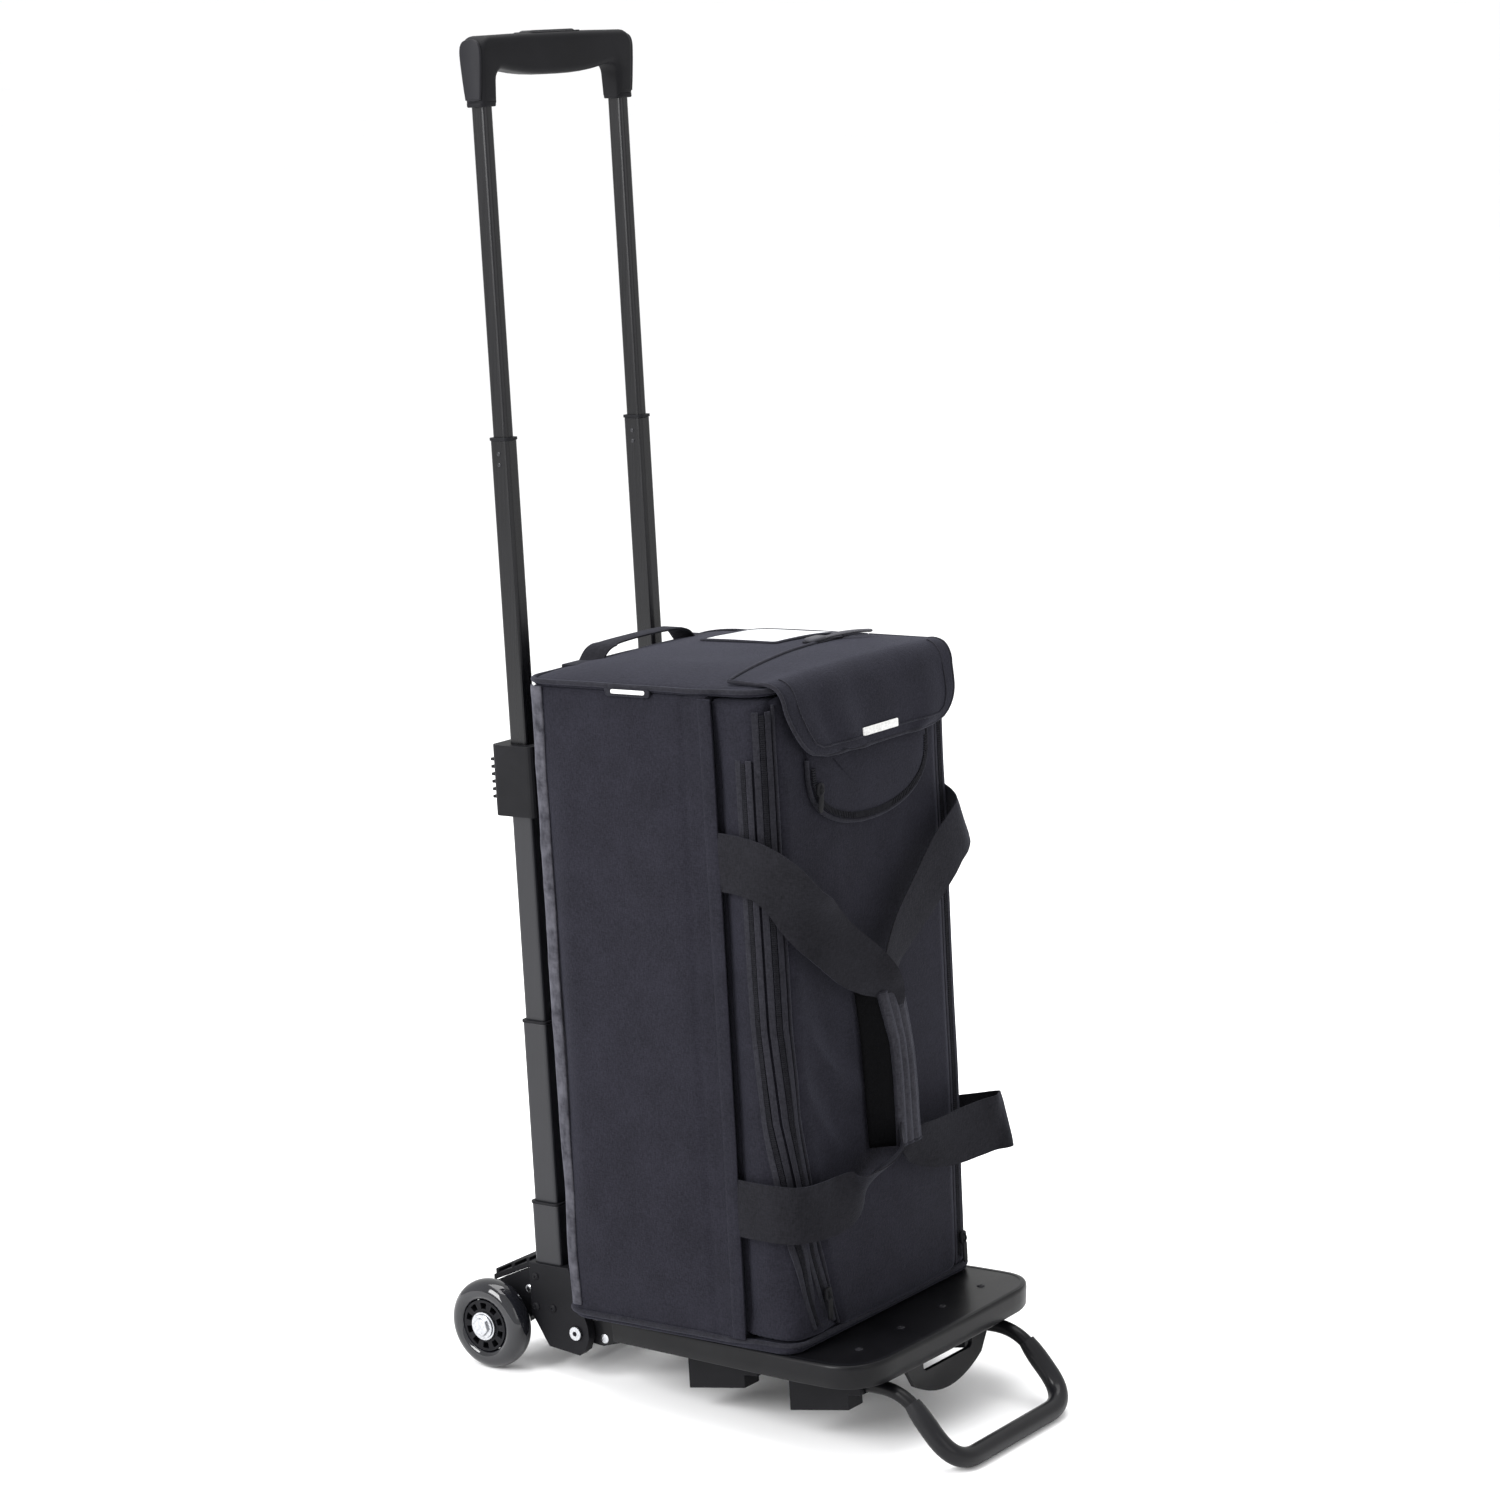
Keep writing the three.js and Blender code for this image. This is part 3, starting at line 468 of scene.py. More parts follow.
def cord(path, radius, sides=12, closed=False, flat=1.0):
    """A round bar along a path; radius may be a list, flat squeezes it along the second normal."""
    p = [Vector(q) for q in path]
    count = len(p)
    radii = radius if isinstance(radius, (list, tuple)) else [radius] * count
    angles = [2 * math.pi * k / sides for k in range(sides)]
    rings = []
    normal = None
    for i in range(count):
        if closed:
            along = (p[(i + 1) % count] - p[i - 1]).normalized()
        else:
            along = (p[min(i + 1, count - 1)] - p[max(i - 1, 0)]).normalized()
        if normal is None:
            normal = along.cross(guide_for(along)).normalized()
        normal = (normal - along * normal.dot(along)).normalized()
        other = along.cross(normal)
        rings.append([
            p[i] + normal * (radii[i] * math.cos(a)) + other * (radii[i] * flat * math.sin(a))
            for a in angles
        ])
    if not closed:
        return ring_bridge(rings)
    points, faces = ring_bridge(rings + [rings[0]])
    return points, faces[:-2]


def disc(centre, out, profile, sides):
    """A turned head that faces out, from (radius, height) pairs."""
    centre, out = Vector(centre), Vector(out).normalized()
    u_axis = out.cross(guide_for(out)).normalized()
    v_axis = out.cross(u_axis)
    angles = [2 * math.pi * k / sides for k in range(sides)]
    return ring_bridge([
        [centre + (u_axis * math.cos(a) + v_axis * math.sin(a)) * r + out * h for a in angles]
        for r, h in profile
    ])


def ribbon(stations, thick, selvedge=0.35):
    """Flat webbing. Each station is (centre, across vector of half the width, face normal)."""
    rings = []
    for centre, across, normal in stations:
        centre, across, normal = Vector(centre), Vector(across), Vector(normal).normalized()
        ring = []
        for side in (1, -1):
            for k in range(RIBBON_POINTS):
                u = side * (1 - 2 * k / (RIBBON_POINTS - 1))
                bulge = 1 + selvedge * max(0.0, abs(u) - 0.82) / 0.18
                squeeze = 0.35 if abs(u) == 1 else 1.0
                ring.append(centre + across * u + normal * (side * thick / 2 * bulge * squeeze))
        rings.append(ring)
    return ring_bridge(rings)


def turned(profile, centre_x, segments=72):
    """A closed (radius, x) profile turned about the wheel axle."""
    rings = []
    for k in range(segments + 1):
        a = 2 * math.pi * (k % segments) / segments
        rings.append([(centre_x + x, r * math.cos(a), r * math.sin(a)) for r, x in profile])
    points, faces = ring_bridge(rings)
    return points, faces[:-2]


def ripple(x, y, z, size, seed=0.0):
    """Smooth noise about -1 to 1; size is the wavelength in mm."""
    return noise.noise(Vector((x / size + seed, y / size - seed, z / size + 2 * seed)))


def bevelled(node, material, width):
    """Keeps a CAD node: merges its flat triangles, rounds its edges and gives it a material."""
    piece = frame["nodes"][node]
    piece.material_slots[0].material = MATERIALS[material]
    piece.modifiers.new("Weld", "WELD").merge_threshold = 1e-5
    planar = piece.modifiers.new("Planar", "DECIMATE")
    planar.decimate_type = "DISSOLVE"
    planar.angle_limit = math.radians(1.0)
    bevel = piece.modifiers.new("Bevel", "BEVEL")
    bevel.width = width * MM
    bevel.segments = 2 if width < WIDE_BEVEL else 3
    bevel.limit_method = "ANGLE"
    bevel.angle_limit = math.radians(31)
    piece.modifiers.new("Weighted", "WEIGHTED_NORMAL").keep_sharp = True


# ---------- cloth ----------
SIM_FRAMES, CLOTH_STIFFNESS = 20, 12.0


def coordinates(mesh):
    flat = np.zeros(len(mesh.vertices) * 3)
    mesh.vertices.foreach_get("co", flat)
    return flat.reshape(-1, 3)


def puff(piece, pressure, cap, held):
    """Blows a closed cloth piece up a little, but no point further than cap millimetres.

    Points stay where they are where held(point) is true.
    """
    scene = bpy.context.scene
    start = coordinates(piece.data)
    back = CART.inverted()
    group = piece.vertex_groups.new(name="pinned")
    group.add([v.index for v in piece.data.vertices if held(back @ v.co)], 1.0, "REPLACE")
    cloth = piece.modifiers.new("Cloth", "CLOTH")
    settings = cloth.settings
    settings.quality = 4
    settings.use_pressure = True
    settings.uniform_pressure_force = pressure
    settings.tension_stiffness = settings.compression_stiffness = CLOTH_STIFFNESS
    settings.bending_stiffness = 0.8
    settings.effector_weights.gravity = 0
    settings.vertex_group_mass = "pinned"
    cloth.point_cache.frame_start, cloth.point_cache.frame_end = 1, SIM_FRAMES
    for step in range(1, SIM_FRAMES + 1):
        scene.frame_set(step)
    shown = piece.evaluated_get(bpy.context.evaluated_depsgraph_get())
    move = coordinates(shown.data) - start
    length = np.linalg.norm(move, axis=1)[:, None]
    move *= np.minimum(1, cap * MM / np.maximum(length, 1e-9))
    piece.modifiers.remove(cloth)
    piece.vertex_groups.clear()
    piece.data.vertices.foreach_set("co", (start + move).ravel())
    piece.data.update()
    scene.frame_set(1)


def subdivided(piece):
    """Applies a subdivision surface level to the piece's own mesh."""
    modifier = piece.modifiers.new("Smooth", "SUBSURF")
    modifier.levels = modifier.render_levels = 1
    shown = piece.evaluated_get(bpy.context.evaluated_depsgraph_get())
    mesh = bpy.data.meshes.new_from_object(shown)
    piece.modifiers.clear()
    piece.data = mesh


def sculpted(piece, lift):
    """Moves each point along its normal by lift(x, y, z), all in cart frame millimetres."""
    mesh = piece.data
    back = CART.inverted()
    normals = [v.normal.copy() for v in mesh.vertices]
    for vertex, normal in zip(mesh.vertices, normals):
        vertex.co += normal * (lift(*(back @ vertex.co)) * MM)
    mesh.update()


# ---------- bag: shells ----------
def bell(distance, width):
    """1 at no distance, falling smoothly to nothing over about twice the width."""
    return math.exp(-(distance / width) ** 2)


def spaced(low, high, step):
    """Numbers from low to high in equal steps close to the wanted one."""
    count = max(1, round((high - low) / step))
    return [low + (high - low) * k / count for k in range(count + 1)]


def grid_box(xs, ys, zs):
    """The surface of a box as a grid through the given coordinates."""
    axes = (xs, ys, zs)
    index, points, faces = {}, [], []

    def vertex(steps):
        if steps not in index:
            index[steps] = len(points)
            points.append(tuple(axis[k] for axis, k in zip(axes, steps)))
        return index[steps]

    for a, b, across in ((0, 1, 2), (0, 2, 1), (1, 2, 0)):
        for i in range(len(axes[a]) - 1):
            for j in range(len(axes[b]) - 1):
                for k in (0, len(axes[across]) - 1):
                    face = []
                    for more_i, more_j in ((0, 0), (1, 0), (1, 1), (0, 1)):
                        steps = {a: i + more_i, b: j + more_j, across: k}
                        face.append(vertex((steps[0], steps[1], steps[2])))
                    faces.append(face)
    return points, faces


def round_plan(points, half, back, front, rear_radius, front_radius):
    """Rounds the upright corners of a box grid in plan."""
    made = []
    for x, y, z in points:
        behind = y > (back + front) / 2
        radius, wall, way = (rear_radius, back, 1) if behind else (front_radius, front, -1)
        limit_x, limit_y = half - radius, wall - way * radius
        over_x, over_y = abs(x) - limit_x, way * (y - limit_y)
        if over_x > 0 and over_y > 0:
            scale = max(over_x, over_y) / math.hypot(over_x, over_y)
            x = math.copysign(limit_x + over_x * scale, x)
            y = limit_y + way * over_y * scale
        made.append((x, y, z))
    return made


def top_half(y):
    """Half width of the top at a depth: the gussets stand in from the side panels."""
    return BAG_HALF - 3.4 * eased((-y - 236) / 22)


def eased(t):
    t = min(1.0, max(0.0, t))
    return t * t * (3 - 2 * t)


def top_height(x, y):
    """Height of the domed top panel."""
    u = min(1.0, abs(x) / BAG_HALF)
    v = min(1.0, abs((y + 190) / 107))
    crown = (1 - u ** 2.6) ** 0.75 * (1 - v ** 2.8) ** 0.75
    return 500.5 + DOME * crown


def make_rear_shell():
    """The bag's rear part: back, side panels and their rounded, creased corners."""
    box = grid_box(spaced(-BAG_HALF, BAG_HALF, 6), spaced(GUSSET_BACK + 0.5, BAG_BACK, 6),
                   spaced(SHELL_BOTTOM, SHELL_TOP, 6))
    points = round_plan(box[0], BAG_HALF, BAG_BACK, GUSSET_BACK, CORNER_REAR, 2)
    piece = part("bag_rear_shell", [(points, box[1])], "cloth", None, 60)
    puff(piece, 3.0, 4.0,
         lambda p: not SHELL_BOTTOM + 1 <= p.z <= SHELL_TOP - 1 or p.y < GUSSET_BACK + 2)
    subdivided(piece)

    def lift(x, y, z):
        value = 0.5 * ripple(x, y, z, 90, 3.1)
        rear = max(0.0, 1 - abs(y - (BAG_BACK - 6)) / 16)
        if abs(x) > BAG_HALF - 24 and rear > 0:  # short creases down the rear corner
            value += rear * 1.1 * ripple(x * 0.2, y * 0.3, z + y * 0.8, 13, 1.7)
        if abs(x) > BAG_HALF - 4:  # the side panel swells to its front edge behind a sewn seam
            value += 1.4 * bell(y - GUSSET_BACK, 9)
            if abs(y + 227) < 5:
                value -= 0.9 * bell(y + 227, 1.6)
        return value

    sculpted(piece, lift)
    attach(piece, "bag")


def make_corner_highlight_strips():
    """Smooth strips, creased all the way down, over the bag's two rear corners; their lighter colour is
    a painted highlight where light catches those corners.
    """
    strips = []
    for sign in (-1, 1):
        grid = []
        for z in spaced(34, 496, 2.5):
            narrow = 0.72 + 0.28 * eased((z - 96) / 150)
            wander = 5 * ripple(0, 0, z, 45, 9.1 * sign)
            row = []
            for k in range(9):
                angle = math.radians(-2 + wander + (44 + 2 * wander) * narrow * k / 8)
                across = math.sin(math.pi * k / 8)
                crease = 1.3 * ripple(k * 0.9, 0, z + 2.6 * k, 12, 3.3) * across
                radius = CORNER_REAR + 0.7 + crease + 0.9 * across
                x = BAG_HALF - CORNER_REAR + radius * math.cos(angle)
                row.append((sign * x, BAG_BACK - CORNER_REAR + radius * math.sin(angle), z))
            grid.append(row)
        strips.append(sheet_faces(grid))
    # the strips' lighter colour is a painted highlight on the rear corners
    thickened(part("bag_corner_highlight_strips", strips, "strip", sharp=80), 1.6)


def wrap_point(s, z, lift=0.0):
    """A point on the front part: s runs from the middle of the front, negative to the left."""
    side = math.copysign(1, s)
    run = abs(s)
    arc = CORNER_FRONT * math.pi / 2
    if run <= FRONT_HALF:
        x, y, nx, ny = run, BAG_FRONT, 0, -1
    elif run <= FRONT_HALF + arc:
        a = (run - FRONT_HALF) / CORNER_FRONT
        nx, ny = math.sin(a), -math.cos(a)
        x = FRONT_HALF + CORNER_FRONT * nx
        y = BAG_FRONT + CORNER_FRONT + CORNER_FRONT * ny
    else:
        x, nx, ny = GUSSET_HALF, 1, 0
        y = BAG_FRONT + CORNER_FRONT + (run - FRONT_HALF - arc)
    return (side * (x + nx * lift), y + ny * lift, z)


S_END = FRONT_HALF + CORNER_FRONT * math.pi / 2 + (GUSSET_BACK - BAG_FRONT - CORNER_FRONT)
# where the front panel ends on each side: (height, run from the middle)
LEFT_EDGE = [(28, -62), (60, -72), (102, -83), (149, -90), (192, -97), (260, -102), (380, -103),
             (500, -103)]
RIGHT_EDGE = [(28, 90), (120, 93), (500, 95)]


def along_table(table, z):
    for (z0, s0), (z1, s1) in zip(table, table[1:]):
        if z <= z1:
            t = max(0.0, (z - z0) / (z1 - z0))
            return s0 + (s1 - s0) * t
    return table[-1][1]


def front_folds(s, z):
    """Relief of the front part: slack folds low on the left, creases beside the wrap, soft ripples."""
    left, right = along_table(LEFT_EDGE, z), along_table(RIGHT_EDGE, z)
    value = 0.7 * ripple(s, 0, z, 60, 5.3)
    low = max(0.0, 1 - abs(z - 95) / 110)
    beside = max(0.0, 1 - abs(s - (left - 20)) / 30)
    value += 1.5 * low * beside * math.sin((s - 0.18 * z) / 5.2)
    inner = max(0.0, 1 - abs(z - 215) / 75) * max(0.0, 1 - abs(s + 62) / 42)
    value += 3.4 * inner * (1 - 2 * abs(math.sin((z + 1.1 * s) / 17 + 0.5 * math.sin(s / 14))))
    value -= 2.8 * bell(s - left + 2.2, 2.2)  # the seam the panel's piping stands in
    if left < s < right:  # the panel stands a little proud between its zips
        rim = min(s - left, right - s)
        value += 2.6 * min(1.0, rim / 7) + 1.6 * min(1.0, rim / 60)
    return value


def make_front_shell():
    """The bag's front part: gussets, rounded corners and front, with its folds."""
    run = [(s, None) for s in spaced(-S_END, S_END, 5)]
    rings = []
    for z in spaced(SHELL_BOTTOM + 1, SHELL_TOP, 5):
        rings.append([wrap_point(s, z) for s, _ in run] + [
            (GUSSET_HALF * (1 - 2 * k / 40), GUSSET_BACK, z) for k in range(1, 40)
        ])
    piece = part("bag_front_shell", [ring_bridge(rings)], "cloth", None, 60)
    puff(piece, 3.0, 1.2,
         lambda p: not SHELL_BOTTOM + 2 <= p.z <= SHELL_TOP - 1 or p.y > GUSSET_BACK - 1)
    subdivided(piece)

    def lift(x, y, z):
        if y > GUSSET_BACK - 0.5 or not SHELL_BOTTOM + 2 < z < SHELL_TOP - 1:
            return 0
        if y < BAG_FRONT + 1.5 and abs(x) < FRONT_HALF:
            s = x
        elif abs(x) > GUSSET_HALF - 1.2 and y > BAG_FRONT + CORNER_FRONT:
            s = math.copysign(S_END - (GUSSET_BACK - y), x)
        else:
            a = math.atan2(abs(x) - FRONT_HALF, BAG_FRONT + CORNER_FRONT - y)
            s = math.copysign(FRONT_HALF + CORNER_FRONT * min(max(a, 0), math.pi / 2), x)
        hollow = -4.5 * bell(y - GUSSET_BACK, 11)
        return front_folds(s, z) + hollow * min(1.0, (SHELL_TOP - z) / 60, (z - SHELL_BOTTOM) / 20)

    sculpted(piece, lift)
    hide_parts("bag_body", "bag_front_panel")
    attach(piece, "bag")


def make_caps():
    """Top panel with its dome, the bottom panel and the piping round both."""
    points, faces = grid_box(spaced(-BAG_HALF, BAG_HALF, 6), spaced(BAG_FRONT, BAG_BACK, 6), [0, 1])
    shaped = []
    for x, y, z in round_plan(points, BAG_HALF, BAG_BACK, BAG_FRONT, 20, 24):
        x *= top_half(y) / BAG_HALF
        shaped.append((x, y, top_height(x, y) - 1.0 if z else 495.5))
    top = part("bag_top_panel", [(shaped, faces)], "cloth", None, 60)
    puff(top, 2.0, 0.6, lambda p: p.z < 499 or abs(p.x) > BAG_HALF - 4)
    subdivided(top)
    sculpted(top, lambda x, y, z: 0.9 * ripple(x, y, z, 55, 8.2) if z > 498 else 0)
    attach(top, "bag")
    outline = round_rect(-BAG_HALF + 1, BAG_HALF - 1, BAG_FRONT + 1, BAG_BACK - 1, (14, 14, 20, 20), 8)
    bottom = part("bag_bottom_panel", [slab(outline, 22.6, 28.5, 2.2, plan)], "cloth")
    for name, height, radius, corner in (("upper", 499.5, 1.9, 24), ("lower", 28.2, 2.0, 16)):
        edge = round_rect(-BAG_HALF - 0.2, BAG_HALF + 0.2, BAG_FRONT - 0.2, BAG_BACK + 0.2,
                          (corner, corner, 20, 20), 8)
        path = [(x * top_half(y) / BAG_HALF, y, height + 0.5 * ripple(x, y, 0, 40, 2.2))
                for x, y in densified(edge, 8)]
        part(f"bag_piping_{name}", [cord(path, radius, 10, closed=True)], "binding", sharp=80)


def along_front(s_of_z, low, high, step, lift):
    return [wrap_point(s_of_z(z), z, lift + front_folds(s_of_z(z), z)) for z in spaced(low, high, step)]


def coil(path, normal_of, width, pitch):
    """Zip teeth: short bars across a path."""
    parts = []
    p = [Vector(q) for q in path]
    for i in range(1, len(p)):
        count = max(1, round((p[i] - p[i - 1]).length / pitch))
        along = (p[i] - p[i - 1]).normalized()
        out = Vector(normal_of(i)).normalized()
        across = along.cross(out).normalized()
        for k in range(count):
            centre = p[i - 1].lerp(p[i], (k + 0.5) / count) + out * 0.5
            corners = [
                centre + along * (a * pitch * 0.3) + across * (b * width / 2) + out * (c * 0.55)
                for a in (-1, 1) for b in (-1, 1) for c in (-1, 1)
            ]
            parts.append((corners, BAR_FACES))
    return parts


def zip_line(name, s_of_z, low, high):
    """A zip that runs down the front part: two tapes with raised edges and a coil between them."""
    tapes = []
    for shift in (-4.4, 4.4):
        stations = []
        for z in spaced(low, high, 5):
            s, base = s_of_z(z) + shift, front_folds(s_of_z(z), z)
            centre = Vector(wrap_point(s, z, base + 0.9))
            edge, deep = wrap_point(s + 2.2, z, base + 0.9), wrap_point(s, z, base)
            stations.append((centre, Vector(edge) - centre, centre - Vector(deep)))
        tapes.append(ribbon(stations, 1.2, 0.9))
    part(f"{name}_tape", tapes, "binding")
    outs = [
        Vector(wrap_point(s_of_z(z), z, 1)) - Vector(wrap_point(s_of_z(z), z, 0))
        for z in spaced(low + 2, high - 2, 6)
    ]
    path = along_front(s_of_z, low + 2, high - 2, 6, 0.6)
    part(f"{name}_coil", coil(path, lambda i: outs[i], 3.4, 1.7), "zip")


def zip_puller(name, at, down, out, length=16):
    """A slider with a looped pull, all in satin plastic; the real pull is metal and cord."""
    at, down, out = Vector(at), Vector(down).normalized(), Vector(out).normalized()
    across = down.cross(out).normalized()
    turn = Matrix((across, down, out)).transposed()

    def place(u, v, w):
        return at + turn @ Vector((u, v, w))

    body = slab(round_rect(-3.4, 3.4, -5, 5, 2.2), 0.4, 3.2, 0.9, place)
    arch = [
        place(0, y, 2.6 + 2.2 * math.cos(y / 4.0 * math.pi / 2)) for y in (-4, -2.5, -1, 0, 1, 2.5, 4)
    ]
    tab = slab(round_rect(-2.5, 2.5, 3, 3 + length, 2.0), 2.6, 4.1, 0.6, place)
    part(name, [body, cord(arch, 0.8, 8), tab], "satin")


def beside(table, shift):
    """The line that runs shift millimetres beside a table's edge, as a function of height."""
    return lambda z: along_table(table, z) + shift


def make_front_trim():
    """Zips, piping and pullers of the front, and the side panels' bound front edges."""
    left, right = beside(LEFT_EDGE, -9), beside(RIGHT_EDGE, 5)
    zip_line("zip_left_inner", left, 36, 486)
    zip_line("zip_left_outer", beside(LEFT_EDGE, -24), 36, 452)
    zip_line("zip_right", right, 36, 486)
    piping = [
        cord(along_front(beside(table, shift), 32, 490, 6, 0.8), 1.3, 8)
        for table, shift in ((LEFT_EDGE, 0.5), (RIGHT_EDGE, -0.5))
    ]
    part("bag_panel_piping", piping, "binding", sharp=80)
    lips = []
    for sign in (-1, 1):  # they stand over the gussets
        stations = []
        for z in spaced(30, 494, 8):
            flare = 1.6 * math.sin(math.pi * min(1, max(0, (z - 30) / 464)))
            flare += 0.8 * ripple(0, 0, z, 70, sign)
            centre = (sign * (BAG_HALF + 0.5 + flare * 0.5), GUSSET_BACK + 2 - flare, z)
            stations.append((centre, (0, 5.5, 0), (sign, -0.08, 0)))
        lips.append(ribbon(stations, 2.4, 0.3))
    part("bag_side_binding", lips, "cloth")
    zip_puller("zip_puller_left", wrap_point(left(60), 60, 4), (0, 0, -1), (0, -1, 0))
    zip_puller("zip_puller_right", wrap_point(right(52), 52, 3), (0, 0, -1), (0, -1, 0))


# ---------- flap, pocket, window, tabs ----------
FLAP_BACK, FLAP_LOW, FLAP_SKEW = -240, 447, 15
# half width behind, at the front edge and low, then the corner radius
FLAP_EDGES = {-1: (105, 104, 97, 44), 1: (110, 108, 105, 26)}


def flap_path():
    """The flap's section: over the dome, round the front edge and down."""
    made = [
        (y, top_height(0, y) * 0.55 + top_height(60, y) * 0.45 + 1.4)
        for y in spaced(FLAP_BACK, -282, 5)
    ]
    top = made[-1][1]
    centre_y, radius = -283.5, 20.0
    for a in range(10, 91, 10):
        angle = math.radians(a)
        made.append((centre_y - radius * math.sin(angle), top - radius + radius * math.cos(angle)))
    edge = made[-1][1]
    for t in spaced(0, 1, 1 / 11)[1:]:
        sway = 3.2 * math.sin(math.pi * t * 0.8)
        made.append((centre_y - radius - sway, edge + (FLAP_LOW - edge) * t))
    return made


def flap_half(side, run, total, edge_run):
    """Half width of the flap on one side at a run along its section."""
    behind, front, low, corner = FLAP_EDGES[side]
    if run < edge_run:
        half = behind + (front - behind) * (run / edge_run) ** 1.5
    else:
        half = front + (low - front) * (run - edge_run) / (total - edge_run)
    left = total - run
    if left < corner:
        half -= corner - math.sqrt(max(0.0, corner ** 2 - (corner - left) ** 2))
    return half


def make_flap():
    """The flap over the pocket: it follows the dome, rolls over the edge and hangs in folds."""
    path = flap_path()
    lengths = [0.0]
    for a, b in zip(path, path[1:]):
        lengths.append(lengths[-1] + math.dist(a, b))
    total, edge_run = lengths[-1], 52
    grid = []
    for (y, z), run in zip(path, lengths):
        left, right = (flap_half(side, run, total, edge_run) for side in (-1, 1))
        hang = max(0.0, run - edge_run) / (total - edge_run)
        front_side = min(1, 2 * hang)
        row = []
        for u in spaced(-1, 1, 2 / 48):
            x = -left + (left + right) * (u + 1) / 2
            droop = DOME
            if abs(x) < BAG_HALF:
                droop = (top_height(0, y) - top_height(x, y)) * (1 - hang) ** 2
            fold = 2.2 * bell(u + 0.42, 0.13) - 1.6 * bell(u + 0.66, 0.1)
            fold += 1.8 * bell(u - 0.62, 0.12) - 0.8 * bell(u - 0.1, 0.2)
            out = hang * fold + 0.7 * ripple(x, y, z, 34, 4.4)
            tucked = 3.0 * hang * max(0.0, abs(u) - 0.75) / 0.25
            skew = (FLAP_SKEW * (x / 112) - 4) * (1 - eased(run / 46))  # a slanted rear edge
            row.append((x, y + skew - out * front_side + tucked, z - droop + out * (1 - front_side)))
        grid.append(row)
    flap = part("bag_flap_cover", [sheet_faces(grid)], "cloth", None, 70)
    thickened(flap, 2.0)
    subdivided(flap)
    edge = [row[0] for row in grid] + grid[-1][1:-1] + [row[-1] for row in grid[::-1]]
    edge += grid[0][-2:0:-1]
    trim = part("bag_flap_binding", [cord(edge, 1.5, 10, closed=True)], "binding", None, 80)
    seam = [row[3] for row in grid[3:-3]] + grid[-3][4:-4] + [row[-4] for row in grid[-4:2:-1]]
    inner = [(x, y - 1.3, z) if z < 490 else (x, y - 0.4, z + 1.3) for x, y, z in seam]
    stitch = part("bag_flap_seam", [cord(inner, 0.6, 6)], "binding", None, 80)
    for piece in (flap, trim, stitch):
        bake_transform(piece)
    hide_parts("bag_flap")
    front = -min(y for x, y, z in grid[-4][18:32])
    label = slab(round_rect(-17, 27, 454, 460, 0.8, 2), front + 0.9, front + 2.0, 0.35, front_view, 2)
    part("blank_label", [label], "label", "flap")


def make_pocket():
    """Half-round zipped pocket under the flap, crowned between its seams."""
    outline = [(-74, 470 - 6 * k) for k in range(6)]
    for k in range(1, 24):
        a = math.pi * k / 24
        outline.append((-74 * math.cos(a), 440 - 47 * math.sin(a) ** 0.72))
    outline += [(74, 440 + 6 * k) for k in range(6)]
    base = 297.6
    rings = [[(u, -base + 1.0, v) for u, v in outline]]
    for inset_by, lift in ((0, 0), (0.4, 1.8), (1.6, 2.8), (4, 3.6), (9, 4.6), (18, 5.4), (26, 5.8)):
        ring = []
        for u, v in inset(outline, inset_by):
            tucked = lift * min(1.0, max(0.25, (468 - v) / 26))
            ring.append((u, -(base + tucked + 0.4 * ripple(u, 0, v, 26, 1.3)), v))
        rings.append(ring)
    pocket = part("pocket_body", [ring_bridge(rings)], "cloth", sharp=75)
    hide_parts("front_pocket")
    path = [(u, -(base + 3.8), v) for u, v in smooth_path(inset(outline, 3.4)[5:30], 2)]
    part("pocket_zip", coil(path, lambda i: (0, -1, 0), 4.2, 1.8), "zip")
    rim = [(u, -(base + 1.8), v) for u, v in inset(outline, -0.8)[4:31]]
    part("pocket_piping", [cord(rim, 1.7, 10)], "binding", sharp=80)
    zip_puller("pocket_puller", (-66, -(base + 4), 424), (-0.2, 0, -1), (0, -1, 0), 13)


def make_window():
    """Card window on the top: a framed clear film that follows the dome."""
    x0, x1, y0, y1 = 14, 94, -212, -147
    points, faces = grid_box(spaced(x0, x1, 5.7), spaced(y0, y1, 5.4), [0.7, 1.9])
    shaped = [
        (x, y, top_height(x, y) - 1 + level + 0.35 * ripple(x, y, 0, 30, 6.1)) for x, y, level in points
    ]
    film = part("card_window_film", [(shaped, faces)], "film", sharp=60)
    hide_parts("card_window")
    outline = round_rect(x0 - 1, x1 + 1, y0 - 1, y1 + 1, 3, 3)
    path = [(x, y, top_height(x, y) + 0.2) for x, y in densified(outline, 8)]
    part("card_window_frame", [cord(path, 2.2, 8, closed=True, flat=0.6)], "binding", sharp=80)


